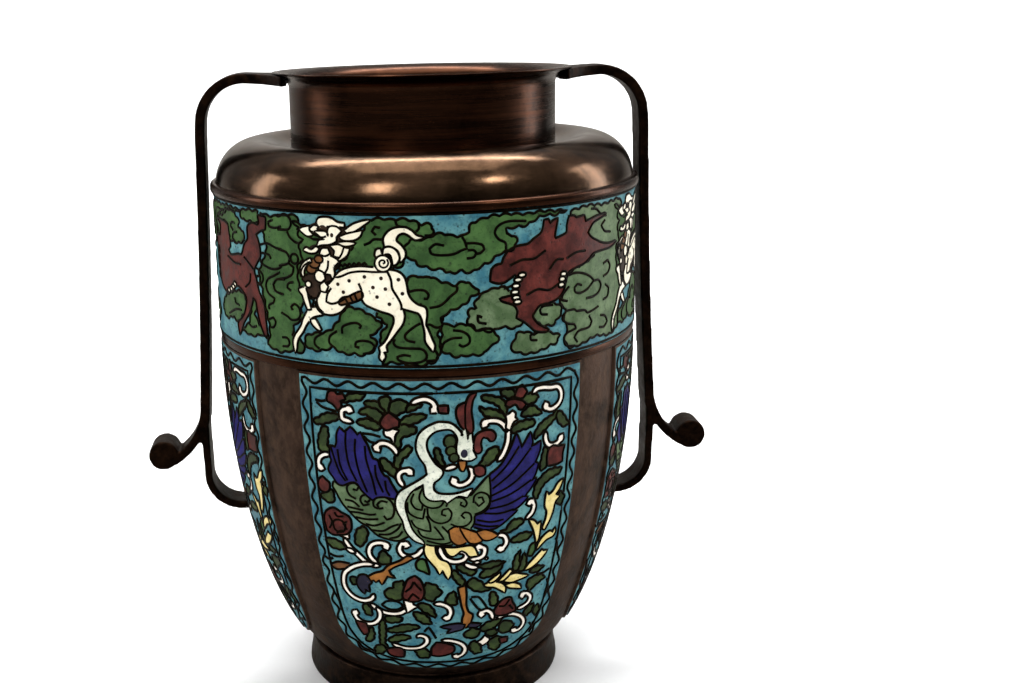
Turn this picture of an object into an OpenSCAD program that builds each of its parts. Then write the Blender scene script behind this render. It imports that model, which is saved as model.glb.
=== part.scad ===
// Two-handled bronze vase with enamelled frieze and picture panels.
// Millimetres, +Z up, origin at the centre of the foot's resting face.
// The front panel faces -Y and the handles stand at -X and +X.

/* [Foot] */
// Outer radius of the foot where it rests
foot_r = 66.6; // [62:0.1:70]
// Outer radius of the foot at its waist
foot_waist_r = 65.2; // [62:0.1:68]
// Height of the foot ring
foot_h = 16.5; // [12:0.5:24]
// Inner radius of the foot ring
foot_bore_r = 59; // [50:0.5:60]
// Thickness of the base plate
base_t = 3; // [2:0.5:6]

/* [Body] */
// Radius where the bowl starts, above the foot
bowl_foot_r = 65; // [60:0.5:70]
// Radius at the waist
waist_r = 105.2; // [95:0.1:115]
// Height of the waist
waist_z = 182.4; // [170:0.1:200]
// Thickness of the cast walls
wall_t = 3; // [2:0.5:5]
// Depth of the enamel beds
relief = 1.2; // [0.8:0.1:2]
// Height of the waist band
waist_band_h = 4.3; // [2:0.1:8]

/* [Frieze] */
// Outer radius of the enamelled frieze
frieze_r = 105.5; // [100:0.1:112]
// Height of the enamelled frieze
frieze_h = 69; // [40:1:90]
// Outer radius of the ridge band above the frieze
ridge_r = 107; // [105.6:0.1:107.4]
// Height of the ridge band
ridge_h = 4.3; // [2:0.1:8]

/* [Shoulder and neck] */
// Height of the shoulder roll above the frieze wall
roll_h = 20; // [12:0.5:30]
// Radius of the roll's crest
crest_r = 84; // [76:0.5:92]
// Depth of the valley round the neck
valley_d = 5.5; // [2:0.5:8]
// Outer radius of the neck
neck_r = 66; // [60:0.5:70]
// Outer radius of the lip
lip_r = 74; // [70:0.5:80]
// Overall height to the lip
height = 312.3; // [306:0.1:320]

/* [Panels] */
// Half angle of the front and back panels
front_half = 38.25; // [30:0.25:42]
// Half angle of the side panels
side_half = 35.75; // [30:0.25:42]
// Height where a panel starts above the foot
panel_z = 24.8; // [22:0.1:30]
// Width of a panel's bronze rim
rim_w = 1.2; // [0.8:0.1:3]
// Width of the waved border
border_w = 5.2; // [4:0.1:12]
// Width of the line wire inside the border
line_w = 1; // [0.6:0.1:2]

/* [Handles] */
// Width of a handle strap
strap_w = 16.5; // [10:0.5:24]
// Thickness of a handle strap
strap_t = 5; // [3:0.5:7]
// Radius of the rolled end of a handle
scroll_r = 7.6; // [5:0.1:10]

/* [Hidden] */
$fn = 128;
STEPS = 16;                            // segments along the bowl's curve
SIDES = ["front", "right", "back", "left"];
bowl_z = foot_h + 1.5;                 // the bowl starts above a narrow groove
groove_r = bowl_foot_r - 2.5;
frieze_z = waist_z + waist_band_h;
ridge_z = frieze_z + frieze_h;
roll_z = ridge_z + ridge_h;
crest_z = roll_z + roll_h;
wall_r = frieze_r - relief;            // outside of the wall behind the frieze
valley_z = crest_z - valley_d;
panel_top = waist_z - 0.2;
corner_z = panel_z + 37.2;             // above this height a panel's sides are straight
CORNER_POWER = 3.4;                    // roundness of a panel's lower corners
field_inset = rim_w + border_w + line_w;
lip_t = 1.1;
flare_r = 6.8;                         // radius of the curve under the lip
flare_z = height - lip_t - flare_r;
root_x = 64;                           // the handle starts inside the neck and is cut to it
strap_z = 309.9;                       // middle of the strap above the neck
corner_r = 22.3;                       // bend at the top of a handle
bend_r = 17.4;                         // bend at the foot of a handle
bend_c = [98.3, 107.5];                // centre of that bend
scroll_c = [138.2, 118.7];             // centre of the rolled end
root_flare_r = 26;                     // fillet from the lip into the strap, seen from above

// Curves -----------------------------------------------------------------

// A point at t on the cubic curve with the four given control points
function bezier(t, a, b, c, d) =
    pow(1 - t, 3) * a + 3 * pow(1 - t, 2) * t * b + 3 * (1 - t) * t * t * c + pow(t, 3) * d;

// Points along that curve
function bezier_points(a, b, c, d, steps) = [for (i = [0:steps]) bezier(i / steps, a, b, c, d)];

// Points on an ellipse from angle a0 to a1
function arc(c, rx, ry, a0, a1, steps) =
    [for (i = [0:steps]) let (a = a0 + (a1 - a0) * i / steps) c + [rx * cos(a), ry * sin(a)]];

// The bowl's outer surface, as [radius, height]
function bowl_at(t) = bezier(t,
    [bowl_foot_r, bowl_z], [bowl_foot_r + 21.6, bowl_z + 19.3],
    [waist_r, bowl_z + 88.6], [waist_r, waist_z]);

function bowl_points(inset) = [for (i = [0:STEPS]) bowl_at(i / STEPS) - [inset, 0]];

function reversed(list) = [for (i = [len(list) - 1:-1:0]) list[i]];

// The place on the bowl's curve that has height z, found by halving
function bowl_t(z, low = 0, high = 1, turns = 24) =
    let (mid = (low + high) / 2)
    turns == 0 ? mid
    : bowl_at(mid).y < z ? bowl_t(z, mid, high, turns - 1) : bowl_t(z, low, mid, turns - 1);

// The strip of width t around a path, as one closed outline
function strip(path, t) =
    let (n = len(path) - 1,
         dirs = [for (i = [0:n]) path[min(i + 1, n)] - path[max(i - 1, 0)]],
         sides = [for (d = dirs) [-d.y, d.x] / norm(d) * t / 2])
    concat([for (i = [0:n]) path[i] + sides[i]], [for (i = [n:-1:0]) path[i] - sides[i]]);

// Foot and walls -----------------------------------------------------------

module foot_ring() {
    color("#4a3a30")
    rotate_extrude()
    polygon(concat(
        [[foot_bore_r, 0]],
        bezier_points([foot_r, 0], [foot_r - 0.2, foot_h * 0.3],
                      [foot_waist_r, foot_h * 0.4], [foot_waist_r, foot_h * 0.62], 6),
        bezier_points([foot_waist_r, foot_h * 0.7], [foot_waist_r, foot_h * 0.9],
                      [foot_r, foot_h * 0.85], [foot_r - 1, foot_h], 5),
        [[foot_bore_r, foot_h]]));
}

module base_plate() {
    color("#3c2f28")
    translate([0, 0, foot_h - base_t]) cylinder(r = foot_bore_r, h = base_t);
}

module bowl() {
    color("#6b594d")
    rotate_extrude()
    polygon(concat(
        [[groove_r, foot_h], [groove_r, bowl_z]],
        bowl_points(relief),
        reversed(bowl_points(relief + wall_t)),
        [[foot_bore_r + 0.5, foot_h]]));
}

module band(r, z, h) {
    translate([0, 0, z])
    difference() {
        cylinder(r = r, h = h);
        translate([0, 0, -1]) cylinder(r = wall_r, h = h + 2);
    }
}

module waist_band() {
    color("#5a3a28") band(frieze_r - 0.1, waist_z, waist_band_h);
}

module frieze_wall() {
    color("#4a3a30")
    translate([0, 0, waist_z])
    difference() {
        cylinder(r = wall_r, h = roll_z - waist_z);
        translate([0, 0, -1]) cylinder(r = wall_r - wall_t, h = roll_z - waist_z + 2);
    }
}

module frieze_enamel() {
    color("#3f7a42") band(frieze_r, frieze_z, frieze_h);
}

module ridge_band() {
    color("#5c3c28")
    rotate_extrude()
    polygon([[wall_r, ridge_z], [ridge_r - 0.4, ridge_z], [ridge_r, ridge_z + 0.6],
             [ridge_r, roll_z - 1.2], [ridge_r - 0.8, roll_z], [wall_r, roll_z]]);
}

// Shoulder and neck --------------------------------------------------------

// The shoulder's skin, sunk by inset below its outer surface
function shoulder_points(inset) = concat(
    arc([crest_r, roll_z - 2], wall_r - crest_r - inset, roll_h + 2 - inset, 6, 90, 12),
    [for (i = [1:8]) let (u = i / 8)
        [crest_r + (neck_r - crest_r) * u, crest_z - inset - valley_d * (1 - cos(180 * u)) / 2]]);

module shoulder() {
    color("#5b4030")
    rotate_extrude()
    polygon(concat(
        [[wall_r - 0.1, roll_z]],
        shoulder_points(0),
        reversed(shoulder_points(wall_t)),
        [[wall_r - wall_t - 0.1, roll_z]]));
}

neck_outside = concat(
    [[neck_r, valley_z - wall_t], [neck_r, height - 14]],
    bezier_points([neck_r + 0.2, height - 12], [neck_r + 0.5, height - 10],
                  [lip_r - flare_r, flare_z - 2], [lip_r - flare_r, flare_z], 4),
    arc([lip_r, flare_z], flare_r, flare_r, 165, 96, 6),
    [[lip_r, height - lip_t], [lip_r + 0.3, height - lip_t / 2], [lip_r, height]]);

module neck() {
    color("#4d3426")
    rotate_extrude()
    polygon(concat(
        neck_outside,
        bezier_points([lip_r - 1, height], [neck_r - 1, height - 1.5],
                      [neck_r - wall_t, height - 6], [neck_r - wall_t, height - 14], 8),
        [[neck_r - wall_t, valley_z - wall_t]]));
}

// Handles --------------------------------------------------------------------

// Middle of the strap from the neck to the bend at its foot
strap_path = concat(
    [[root_x, strap_z - 1.8], [76, strap_z - 0.7]],
    arc([110 - corner_r, strap_z - corner_r], corner_r, corner_r, 90, 5, 12),
    bezier_points([110.4, 282], [111.2, 240], [112.6, 190], [116, 136], 10));

// Middle of the spur that ends in the roll
spur_path = bezier_points([115.7, 142], [117.5, 130], [123, 121.5], [133.5, 115], 8);

// Middle of the thinner strap that returns to the bowl
return_path = concat(
    [[115.9, 138], [116.1, 126]],
    arc(bend_c, bend_r, bend_r, 6, -90, 12),
    [[92, bend_c.y - bend_r]]);

module handle_side_view() {
    polygon(strip(strap_path, strap_t));
    polygon(strip(spur_path, strap_t - 0.5));
    polygon(strip(return_path, strap_t - 1.1));
    translate(scroll_c) circle(r = scroll_r, $fn = 64);
}

module handle_slab(width) {
    rotate([90, 0, 0]) translate([0, 0, -width / 2]) linear_extrude(width) handle_side_view();
}

// The root seen from above: two fillets run from the lip's edge into the strap
module root_plan() {
    y = strap_w / 2 + root_flare_r;
    x = sqrt(pow(lip_r + root_flare_r, 2) - y * y);
    a = atan2(y, x);
    for (side = [-1, 1])
    polygon([for (p = concat(
        [[root_x, 0], [lip_r * cos(a) - 1, lip_r * sin(a)]],
        arc([x, y], root_flare_r, root_flare_r, 180 + a, 270, 8),
        [[x, 0]])) [p.x, side * p.y]]);
}

module handle() {
    difference() {
        union() {
            handle_slab(strap_w);
            intersection() {
                handle_slab(2 * lip_r);
                translate([0, 0, flare_z - 6]) linear_extrude(20) root_plan();
            }
        }
        // the neck, and the bowl with its panels
        rotate_extrude() polygon(concat([[0, neck_outside[0].y]], neck_outside, [[0, height]]));
        rotate_extrude()
            polygon(concat([[0, bowl_z]], bowl_points(0), [[0, waist_z]]));
    }
}

module handle_right() {
    color("#2e211b") handle();
}

module handle_left() {
    color("#2e211b") rotate([0, 0, 180]) handle();
}

// Panels ---------------------------------------------------------------------

// Half the width of a panel's outline at height z, seen from the front
function half_width(z, angle, inset) =
    let (r = bowl_at(bowl_t(z)).x) r * sin(angle - inset / r * 180 / PI);

// The right half of a panel's outline, drawn inset from its edge, from the top down
function panel_side(half, inset) =
    let (top = panel_top - inset, low = panel_z + inset * 0.8)
    concat(
        [for (i = [0:7]) let (z = top + (corner_z - top) * i / 8) [half_width(z, half, inset), z]],
        [for (a = [0:10:90])
            let (z = corner_z - (corner_z - low) * pow(sin(a), 2 / CORNER_POWER),
                 share = pow(max(cos(a), 0), 2 / CORNER_POWER))
            [half_width(z, half, inset) * share, z]]);

module panel_outline(half, inset) {
    side = panel_side(half, inset);
    polygon(concat(side, [for (p = reversed(side)) [-p.x, p.y]]));
}

// The layer of the enamel beds, all round the bowl
module bed_layer() {
    rotate_extrude() polygon(concat(bowl_points(0), reversed(bowl_points(relief))));
}

// The part of that layer between two insets of a panel's outline; side 0 faces -Y
module panel_piece(side, outer, inner) {
    half = side % 2 == 0 ? front_half : side_half;
    rotate([0, 0, side * 90])
    intersection() {
        bed_layer();
        rotate([90, 0, 0]) translate([0, 0, 20]) linear_extrude(100)
        difference() {
            panel_outline(half, outer);
            if (inner > outer) panel_outline(half, inner);
        }
    }
}

module panel_rim(side) {
    color("#7a5a42") panel_piece(side, 0, rim_w);
}

module border_enamel(side) {
    color("#4a8a9a") panel_piece(side, rim_w, rim_w + border_w);
}

module border_line(side) {
    color("#241a16") panel_piece(side, rim_w + border_w, field_inset);
}

module field_enamel(side) {
    color("#4a8a9a") panel_piece(side, field_inset, 0);
}

// Nodes ------------------------------------------------------------------------

foot_ring();
base_plate();
bowl();
waist_band();
frieze_wall();
frieze_enamel();
ridge_band();
shoulder();
neck();
handle_left();
handle_right();
for (i = [0:3]) {
    panel_rim(i);
    border_enamel(i);
    border_line(i);
    field_enamel(i);
}
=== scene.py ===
"""Two-handled bronze vase with enamelled frieze and picture panels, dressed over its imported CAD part.

The CAD nodes give every size. The turned rings, the handles, the wires and the enamel fills are modelled
here in the same frame, in metres, and each one rides on the body "root".
"""

import logging
import math
from dataclasses import dataclass, field
from enum import Enum
from typing import Any, Iterable, Sequence

import bpy
import numpy as np
from mathutils import Matrix, Vector
from mathutils.geometry import delaunay_2d_cdt


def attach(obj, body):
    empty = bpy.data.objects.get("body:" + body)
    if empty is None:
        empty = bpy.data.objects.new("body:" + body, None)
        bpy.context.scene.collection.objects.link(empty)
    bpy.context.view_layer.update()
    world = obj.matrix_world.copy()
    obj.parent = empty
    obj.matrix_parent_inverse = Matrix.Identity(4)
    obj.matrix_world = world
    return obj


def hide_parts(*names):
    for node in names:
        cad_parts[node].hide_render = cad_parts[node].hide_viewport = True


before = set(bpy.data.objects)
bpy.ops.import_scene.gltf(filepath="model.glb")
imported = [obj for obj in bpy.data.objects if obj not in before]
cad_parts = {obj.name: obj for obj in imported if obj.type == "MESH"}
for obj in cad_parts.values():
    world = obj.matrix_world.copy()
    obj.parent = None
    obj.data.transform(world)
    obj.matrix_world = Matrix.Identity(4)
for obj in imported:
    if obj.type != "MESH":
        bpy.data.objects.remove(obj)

logging.basicConfig(level=logging.INFO, format="%(message)s")
log = logging.getLogger("vase")

MM = 0.001
BODY = "root"
SIDES = ("front", "right", "back", "left")
Point = tuple[float, float]
Place = tuple[float, float, float]
Socket = bpy.types.NodeSocket


class Form(Enum):
    """How a drawn line becomes a piece of the picture."""

    CELL = "a filled cell with a wire round it"
    CLOUD = "a filled cell with a scalloped edge"
    LEAF = "a filled cell with a wavy edge"
    SCROLL = "a narrow enamelled stroke between two wires"
    SPOT = "a small oval cell"
    DOT = "a small oval fill with no wire"
    WIRE = "a bare wire"


class Enamel(Enum):
    """The enamels of the pictures: the record's material slot and the shade's number within it."""

    TURQUOISE = ("turquoise_enamel", 1)
    GREEN = ("green_enamel", 1)
    WHITE = ("white_enamel", 1)
    CREAM = ("white_enamel", 2)
    SPECKLE = ("white_enamel", 3)
    RED = ("red_enamel", 1)
    COBALT = ("blue_enamel", 1)
    DARK = ("blue_enamel", 2)
    YELLOW = ("yellow_enamel", 1)
    OCHRE = ("ochre_enamel", 1)
    BROWN = ("ochre_enamel", 2)
    UMBER = ("ochre_enamel", 3)
    OLIVE = ("olive_enamel", 1)
    SAGE = ("sage_enamel", 1)

    @property
    def slot(self) -> str:
        """Names the record's material slot.

        Returns:
            The slot.
        """
        return self.value[0]


@dataclass(frozen=True)
class Layer:
    """Outlines of one form and one enamel.

    Args:
        form: What each outline becomes.
        enamel: The enamel that fills it.
        lines: The outlines, each a string of "along,up" points in millimetres. A point that ends in "o"
            carries a round end, and a spot or a dot is "along,up:half width,half height".
    """

    form: Form
    enamel: Enamel
    lines: tuple[str, ...]


# The pictures, as outlines in millimetres along and up the enamelled surface, lowest layer first.
PHOENIX = (
    Layer(Form.WIRE, Enamel.TURQUOISE, (
        "-60.5,150.5 -57,150.3 -53,151.5",
        "-60,149.5 -57,147.5 -52,146.5 -49.5,146",
        "-37.5,136.8 -33,136.5 -29,135.5",
        "-37,135.5 -34,133 -31,132.5",
        "11.5,49.8 13,47 15.5,43 18,41",
        "12,50.5 15.5,50 18,46.5 20,42.5",
        "-28,38.5 -24,39.5 -20.5,39 -21,36.5 -25,35.5 -28,36.5",
        "-30.5,46 -28,48.5 -24,49 -21,47.5 -20.5,45.5 -23,43.8 -27,43.8 -30.5,46",
        "-10,30 -8,33 -6,29 -4.5,25.5",
        "46,57 50,56.5 54,58",
        "-57,72 -53,71 -49,72",
        "44,26 46,22 45,18",
        "-44,18 -41,14 -37,12",
        "52,40 54,46 53,52",
        "-56,50 -53,44 -52,38",
        "-60,70 -57,68.5 -55,70",
        "56,66 58,70 57,75",
    )),
    Layer(Form.LEAF, Enamel.OLIVE, (
        "-46.5,151 -45,153.5 -41,155 -36,155 -38,153 -42,152.2",
        "-62,140.5 -59.5,139.2 -55,140.5 -50,142.5 -47.5,144 -52,144.7 -56,144 -59,142",
        "-59.5,132 -58,136 -57,138 -55,137.5 -54.8,134 -55.5,129.5 -54.3,127 -57,125.5 -59.5,127.5",
        "-36.2,151.2 -33,152 -28.5,151 -26,148.5 -27,147 -31,148.5",
        "-38.8,146.5 -35,149 -30,147.8 -28,145 -28.8,142 -32,143.8 -35,146",
        "-29,151.5 -28,153.8 -26,154.3 -24.3,153 -25,149 -26,147.5",
        "-24.5,150 -22.5,152.5 -19,152.8 -17,151.5 -17.5,149 -19.5,147.5 -22,146.5 -24,147.5",
        "-17,149.5 -13.5,151.5 -10.5,150.8 -13,149.5 -16.5,148",
        "-20.5,141 -19,144 -15,146 -11,146.3 -8.5,146 -10.5,144.3 -13.5,142.8 -17,141.8",
        "-40,142 -36,143.5 -32,142.5 -29,141 -30,139 -35,140",
        "-22,139 -19,141.5 -15.5,140.5 -13,140.2 -14,138 -17,136.8 -20,135.5 -20.5,131.5 -21.8,130 "
        "-22.8,132 -22.5,136",
        "-22.8,121 -22.3,126 -19,129.5 -16.5,131.5 -15.3,130.5 -17,127.5 -19.5,125.5 -21,121",
        "-29.5,124.8 -27,124.5 -24,121.5 -22.5,119.5 -22.8,116 -25,118 -28,120.5",
        "-4.5,130.5 -3,129 -1.5,124 -0.5,121.5 -3,123.5 -4.5,127",
        "-60,103.5 -57.5,104.5 -54,107 -53,103 -54,100.5 -57,101",
        "16.5,153.5 19.5,153.5 22.5,152.5 25.5,151.5 27,149.5 28,146.5 28,144 26.5,145.5 24.5,148.5 "
        "21.5,150.5 18,151.8",
        "15.5,149 17,147.5 21,147 24,145.5 26.5,143.8 28,141.5 24,142.5 20,144 17.5,145.5",
        "25.5,155 28,155.5 31.5,154.5 32,152.5 29.5,151.8 27,153",
        "36,151 39,152 42,151.5 44,150 42,148.2 39,147.8 36.5,149.5",
        "35.5,142.5 38,145 41,146 43.5,144.5 46,142 42.5,142 39,142",
        "30.5,136.5 33,138.5 37,139.5 41,139.3 42.5,138 40,136.5 35,135.8 32,135",
        "42.5,132 45,136 49,138.5 53,140 55,142.5 54,139 50,135.5 46.5,133 43,130.5",
        "55.5,141 58,139.5 60.5,136 62,134 59,133.5 56.5,135.5 55,138",
        "14.5,120.8 16,121.5 18.5,126 21,128.5 24,128.5 24,126 21.5,122.5 19,121 17,120.5",
        "46,116 47,121 48,124.5 49.5,124 49.5,120 48.5,115 46.5,114",
        "42.8,101 43.5,106 46,109.5 50,112.3 54,112.8 58,112.3 57,110.5 52,108.8 48,106.5 45.5,103 "
        "44.3,100",
        "25.5,85.5 28.5,86 31,89.5 34.5,90.5 37.5,89.3 35,87.3 31.5,85.5 28,84.5",
        "31,79.5 34,81.5 38,82.5 42,81.5 40,79.3 35,78.5",
        "33.5,62 33,66 34,70 36,73 35.5,68.5 36,64",
        "36,61.5 37,66 38.5,71 39.5,67 38.8,62.5",
        "5,69.5 8,69.5 10.5,67.5 14,65.5 12,63.5 9.5,65 6.5,67",
        "3.5,67 6,64 8.5,60 7.5,57.5 4.5,61.5 3,65",
        "10,58.5 12.5,61.5 16,59 18.5,56.5 21,54 17,53.5 13,55",
        "16,62 18,65 21,66.8 25,66.5 27,67.5 25.5,64.5 22,62.3 18.5,61.5",
        "13.5,69 17,68.5 22,69.5 28,68.5 24,67.3 19,66.5",
        "-28.5,52 -28,55 -24,57 -24.5,59.5 -20.5,61 -20,57 -20.5,52.5 -22,50 -26,50.5",
        "-10,52 -10.5,56 -9,60 -5,58.5 -3.5,56 -2,54.5 -5,51.5 -6.5,49.5",
        "0,48.5 1,52 3.5,54.5 4.5,51.5 5,47.5 3,47",
        "-13,47.5 -10,47.8 -7,45.5 -5.5,42 -5,39.5 -8,42 -11,44",
        "-15,42.5 -11,41.5 -8.5,39 -7,35.5 -10.5,36 -13.5,38.5",
        "-40,44 -38,45 -36,42 -36,38.5 -38.5,39.5",
        "-28,29.5 -24,29 -18,30.5 -12.5,33 -15,34 -20,34 -25,31.5",
        "-27.5,22.5 -24,26 -19,27 -17,25.5 -21,23.5 -25,22",
        "-39,20 -37.5,26 -36,30.5 -35,26 -36,21",
        "-31.5,36 -29.5,35.5 -29,28 -29.5,21 -28,17 -31,19 -31.5,27",
        "-14.5,17.5 -10,17.5 -7.5,14 -8,11 -12,11",
        "12.5,19.5 14.5,21 17,17 18,12 15,11.5 13,15",
        "21.5,19 25,21.5 28,20 28,15.5 26,11.5 23,13.5",
        "17,29 20,32.5 24,33.5 28,34 25,30 20,27.5",
        "28,31.5 31.5,31 34.5,28 32,24 28,24.5 27,28",
        "9,27 13,30.5 17,28 15,24 11,24.5",
        "40,33.5 42,37 45.5,38.5 44.5,34.5 42,32",
        "42,59.5 45,61.5 50,60.5 46,58.5",
        "41,53 44,55.5 49,55.5 51,53.5 47,51.5 44,49.5 42.5,47.5",
        "22,52 24,50 25,46 24,43.5 22,44.5 21.5,48",
        "-58.5,79.5 -55,80.5 -51,79.5 -47.5,76.8 -51,75.8 -55.5,76.5",
        "-42.5,82.5 -41.5,87 -39,89.5 -36.8,87.5 -38,82 -40.5,79 -42,80",
        "-31.5,71 -31,74.5 -29.5,77.5 -26.5,74.5 -26,71.5 -28.5,70.5",
        "-29,38 -25,39.3 -21,38.5 -22,36.5 -27,35.5",
        "-34,16 -31,18.5 -29,15.5 -31,12 -34,11",
        "-46,60 -43,60.5 -42.5,57.5 -45,56.5",
        "46,34 48,37 49.5,33 47.5,30",
        "56,96 58,100 60.5,97 58.5,93",
        "20,26.8 23.6,27.5 25.8,25.3 24,23.4 21.3,24.2",
    )),
    Layer(Form.CELL, Enamel.GREEN, (
        "40.5,69.5 42,74.5 44,75.5 44.2,72 42.5,69",
        "-13.5,71.5 -12,73.5 -10,73 -9,70 -8,65.5 -10,67 -13,68.5",
    )),
    Layer(Form.CELL, Enamel.BROWN, (
        "-56,65.5 -52,67.8 -46,67.8 -44,67 -48,65.5 -53,64",
    )),
    Layer(Form.SCROLL, Enamel.WHITE, (
        "-42.5,147.2o -44.5,147.8 -46.8,147 -47.3,145 -46.8,143 -44.5,142.3 -42,141.8",
        "-15,151.5 -12,153 -8.5,153.5 -5.5,152 -4.5,149.5 -5.5,148o",
        "-30.3,129.2o -31.2,130.5 -29.5,132.3 -27,132.6 -24.5,131.5 -22.5,129.5 -21.8,127.2",
        "-15.5,118.3o -17,119.5 -19.5,119.3 -21.2,117.5 -21,115 -19.5,112.5 -18.8,111.8",
        "-54,124.7 -57,124.3 -59.5,122.5 -60.3,120 -59.5,117.8 -58.3,117.3o",
        "10.3,120.5 11.8,118.5 11.8,115.5 10,113 7,111.8 4.5,112.5 3.2,115o",
        "-0.5,120 2,120.8 5,121.3",
        "24,122 26.5,125 28.5,130 29,134 28.8,138",
        "28.3,136 27,138.8 24.5,141 21,141.8 18.5,141.3 17.3,139.8o",
        "41.2,152 43.5,153.8 47,154 51,153.3 55,153 57,150.5 57,147 55,144.3 51.5,143 49,144 "
        "48.2,146o",
        "48.5,132.5 48.5,129 50,126 53,125 56,126 58,128.5o",
        "39.8,98o 42,98.5 42.8,96 42,93 40,91 38.5,90",
        "24,84 27.5,83 28.8,79.5 27,76.5 24.8,76.3o",
        "-17.5,81.3o -20.5,82 -21.5,79 -20,76 -16.5,75 -13,76.5 -10.5,80",
        "-27.3,79.3o -28.5,81.5 -31.5,81.8 -34.5,80.5 -36,77.5 -35.5,74 -33,71 -32.5,69.8",
        "-48.5,82 -45.5,77.5 -41.5,74 -38,70.8 -34,69.3 -31,69",
        "-47.5,76.5 -43,75",
        "-34,69.5 -38.5,69.2 -43,67.5 -46.5,65 -49,62 -49.8,57.5 -49,53.5 -46.5,50 -43,47.8 "
        "-39,47.3 -35.5,49 -34.2,52",
        "-18.5,44.5 -21,42 -25,41 -29.5,41.5 -33,43.5 -36,46",
        "-33,44 -31.5,41 -31.8,37 -34.5,33.5 -38.5,32.5 -42.5,34 -44.5,37 -43.8,39.5o",
        "-5.5,47.8 -2,47.5 1.5,45 2.3,41.5 1,39 -0.5,38.8o",
        "-25.5,20.5 -21.5,18.5 -16.5,17.8 -11.5,19 -8.8,22.5 -9.3,26 -12,27.3 -13.5,26",
        "-1.5,23.8 3,23 7.5,20.5 9.8,16.5 9,12.5 6.5,10.5 4.8,11.5o",
        "17.3,38o 17.5,40.3 20,40.8 22.3,38.5 23.2,34.5",
        "25.5,34.8 30,36 35,34.8 39,31.5 40.5,27.5 39,24 36.5,22.8 34.3,24.3o",
        "38.5,45o 38.8,46.8 41,46.5 43.2,44 42.5,40.8 39.5,38.8 36,38",
        "-3,80.5 -2.3,77 0,73.5 4,71.8 8,72.5 9.5,75 8,77.3 5.5,76.5",
        "14.5,77.5o 15.5,79 18,77.5 17.5,74 14.5,72.5 11,72.5",
        "8.5,70.5 11.5,68.3 15,67.5",
        "13,70.3 16,70.5",
        "19,72o 19,72.4",
    )),
    Layer(Form.CELL, Enamel.WHITE, (
        "28,143.3 29.8,144 31,145 32.3,143.8 32,142 33.3,141 31.5,140.3 30.5,138.5 29.8,136.5 "
        "28.2,137.5 28.5,140.5",
        "-50.5,83.5 -48.5,85 -46.5,85.5 -46,82.5",
        "-19.5,49.5 -16.2,49.3 -15.5,47.3 -13.5,46.3 -15.5,44.8 -18,42.5",
        "16,20.2 18,21.5 19.5,23.8 20.5,22.5 21.8,21 20.8,19 18.5,17.3 17.5,18.8",
        "-27.2,138 -25.5,140.5 -24.5,141 -23.5,139.5 -21,138.8 -22,137.8 -22.8,136 -23,133 "
        "-24.5,135.5 -26.5,136.2",
    )),
    Layer(Form.CELL, Enamel.RED, (
        "-54,152.5 -53,155 -50.5,155.3 -49.5,154 -46.5,154.5 -45.5,152.5 -48,151.5 -47.5,149 "
        "-49,147 -51,149.5 -54,151",
        "-28.8,142.5 -27,145.5 -25,147 -22.5,145 -20.8,143.5 -21,141 -23,140.5 -26,139.3 -28,140.5",
        "-60.8,109 -60,111.5 -58.5,112.8 -57,111.5 -55.2,110 -55.5,107 -57.5,105.5 -60,106.5",
        "-57.5,87 -58.3,90 -57.8,94 -55.5,96.5 -53,97.3 -49.5,95.5 -46,94 -44.8,91.5 -45,87.5 "
        "-47,85 -50.5,84 -54,83.5 -57,85",
        "28.5,150 31,150.5 33.5,150 36,149 37.5,147.5 36,145.8 34.5,146 33.5,147.8 32,148.5 "
        "29.5,147.5 28,148.5",
        "32.5,152 34,155.5 36,156.3 38,153.5 36,151 34,151.3",
        "50,115.5 49.8,119 50.5,123 53,124.5 56,123.5 59.5,123.5 58.5,120.5 58.3,116 55,115.3",
        "-20,52 -19.5,56 -18.5,59.5 -17.5,62 -14.5,64 -12.5,62 -11,58.5 -10.5,54 -12,50.5 -16,49.5 "
        "-18.5,50.5",
        "24,40 25.5,43 27,45 29.5,46.5 32,46 33,43 34.5,40 35,37.5 31,36.5 27,36.5 24.5,37.5",
        "-44,33 -39,32.5 -38,29 -38,26 -40,24.5 -42,28",
        "-28,15.5 -25,17 -22,17.5 -20,15.5 -20,11 -24,10.8 -27,12.5",
        "-6,13 -6,18 -4,22 -1,21.5 1.5,20.5 4,18.5 4,15 1,13 -3,12.2",
        "27.5,20 31.5,19.5 31.5,16.5 28.5,16",
        "-3,150 1,150 1,147 -2.5,147.5",
        "-53.6,89.5 -52.5,91 -50,91.3 -48,89.5 -48.3,87 -50,85.7 -52.6,86.3",
    )),
    Layer(Form.CELL, Enamel.YELLOW, (
        "49.8,101.8 51,99.8 53.5,101 56.5,104.8 59.3,106.3 57.8,102.5 55,99.3 57.5,97.8 55,95.5 "
        "53.8,91 52,86.5 49.3,82 48.3,83 50,87.5 50.5,91.5 49.2,95",
        "40.5,89 43,88 45,85.5 46.8,86.5 46.5,82 46,78 45,75.5 44.3,79 43.3,83 42,86",
        "45,71.3 46.5,75 49,78 52.5,79.8 54.5,78.5 55.8,81 56,79 54.5,76.8 51,76 48,74",
        "39,61.3 41,64 45,67.5 48.5,70.5 49.5,69.5 51.5,69.5 49.5,67 46,64 42,61.8",
        "28,57.3 30,59.5 33.5,60.5 37,59.3 41,57.7 38,57 35,56.5 32,56",
        "18.2,57 22,57.8 26.5,56.3 28.8,53.5 28.7,50.5 26.5,52.5 23,55 19.5,55.8",
        "29,54.8 33,55 36.5,53 37.3,51 34.5,51.8 31,53",
        "20.5,58.5 23,60.5 26,62.5 25.5,60.8 23.5,58.8 21.5,58",
        "25.5,58 28,60.5 31,63.5 32,62.5 30,60 27.5,58",
    )),
    Layer(Form.CELL, Enamel.SAGE, (
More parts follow.
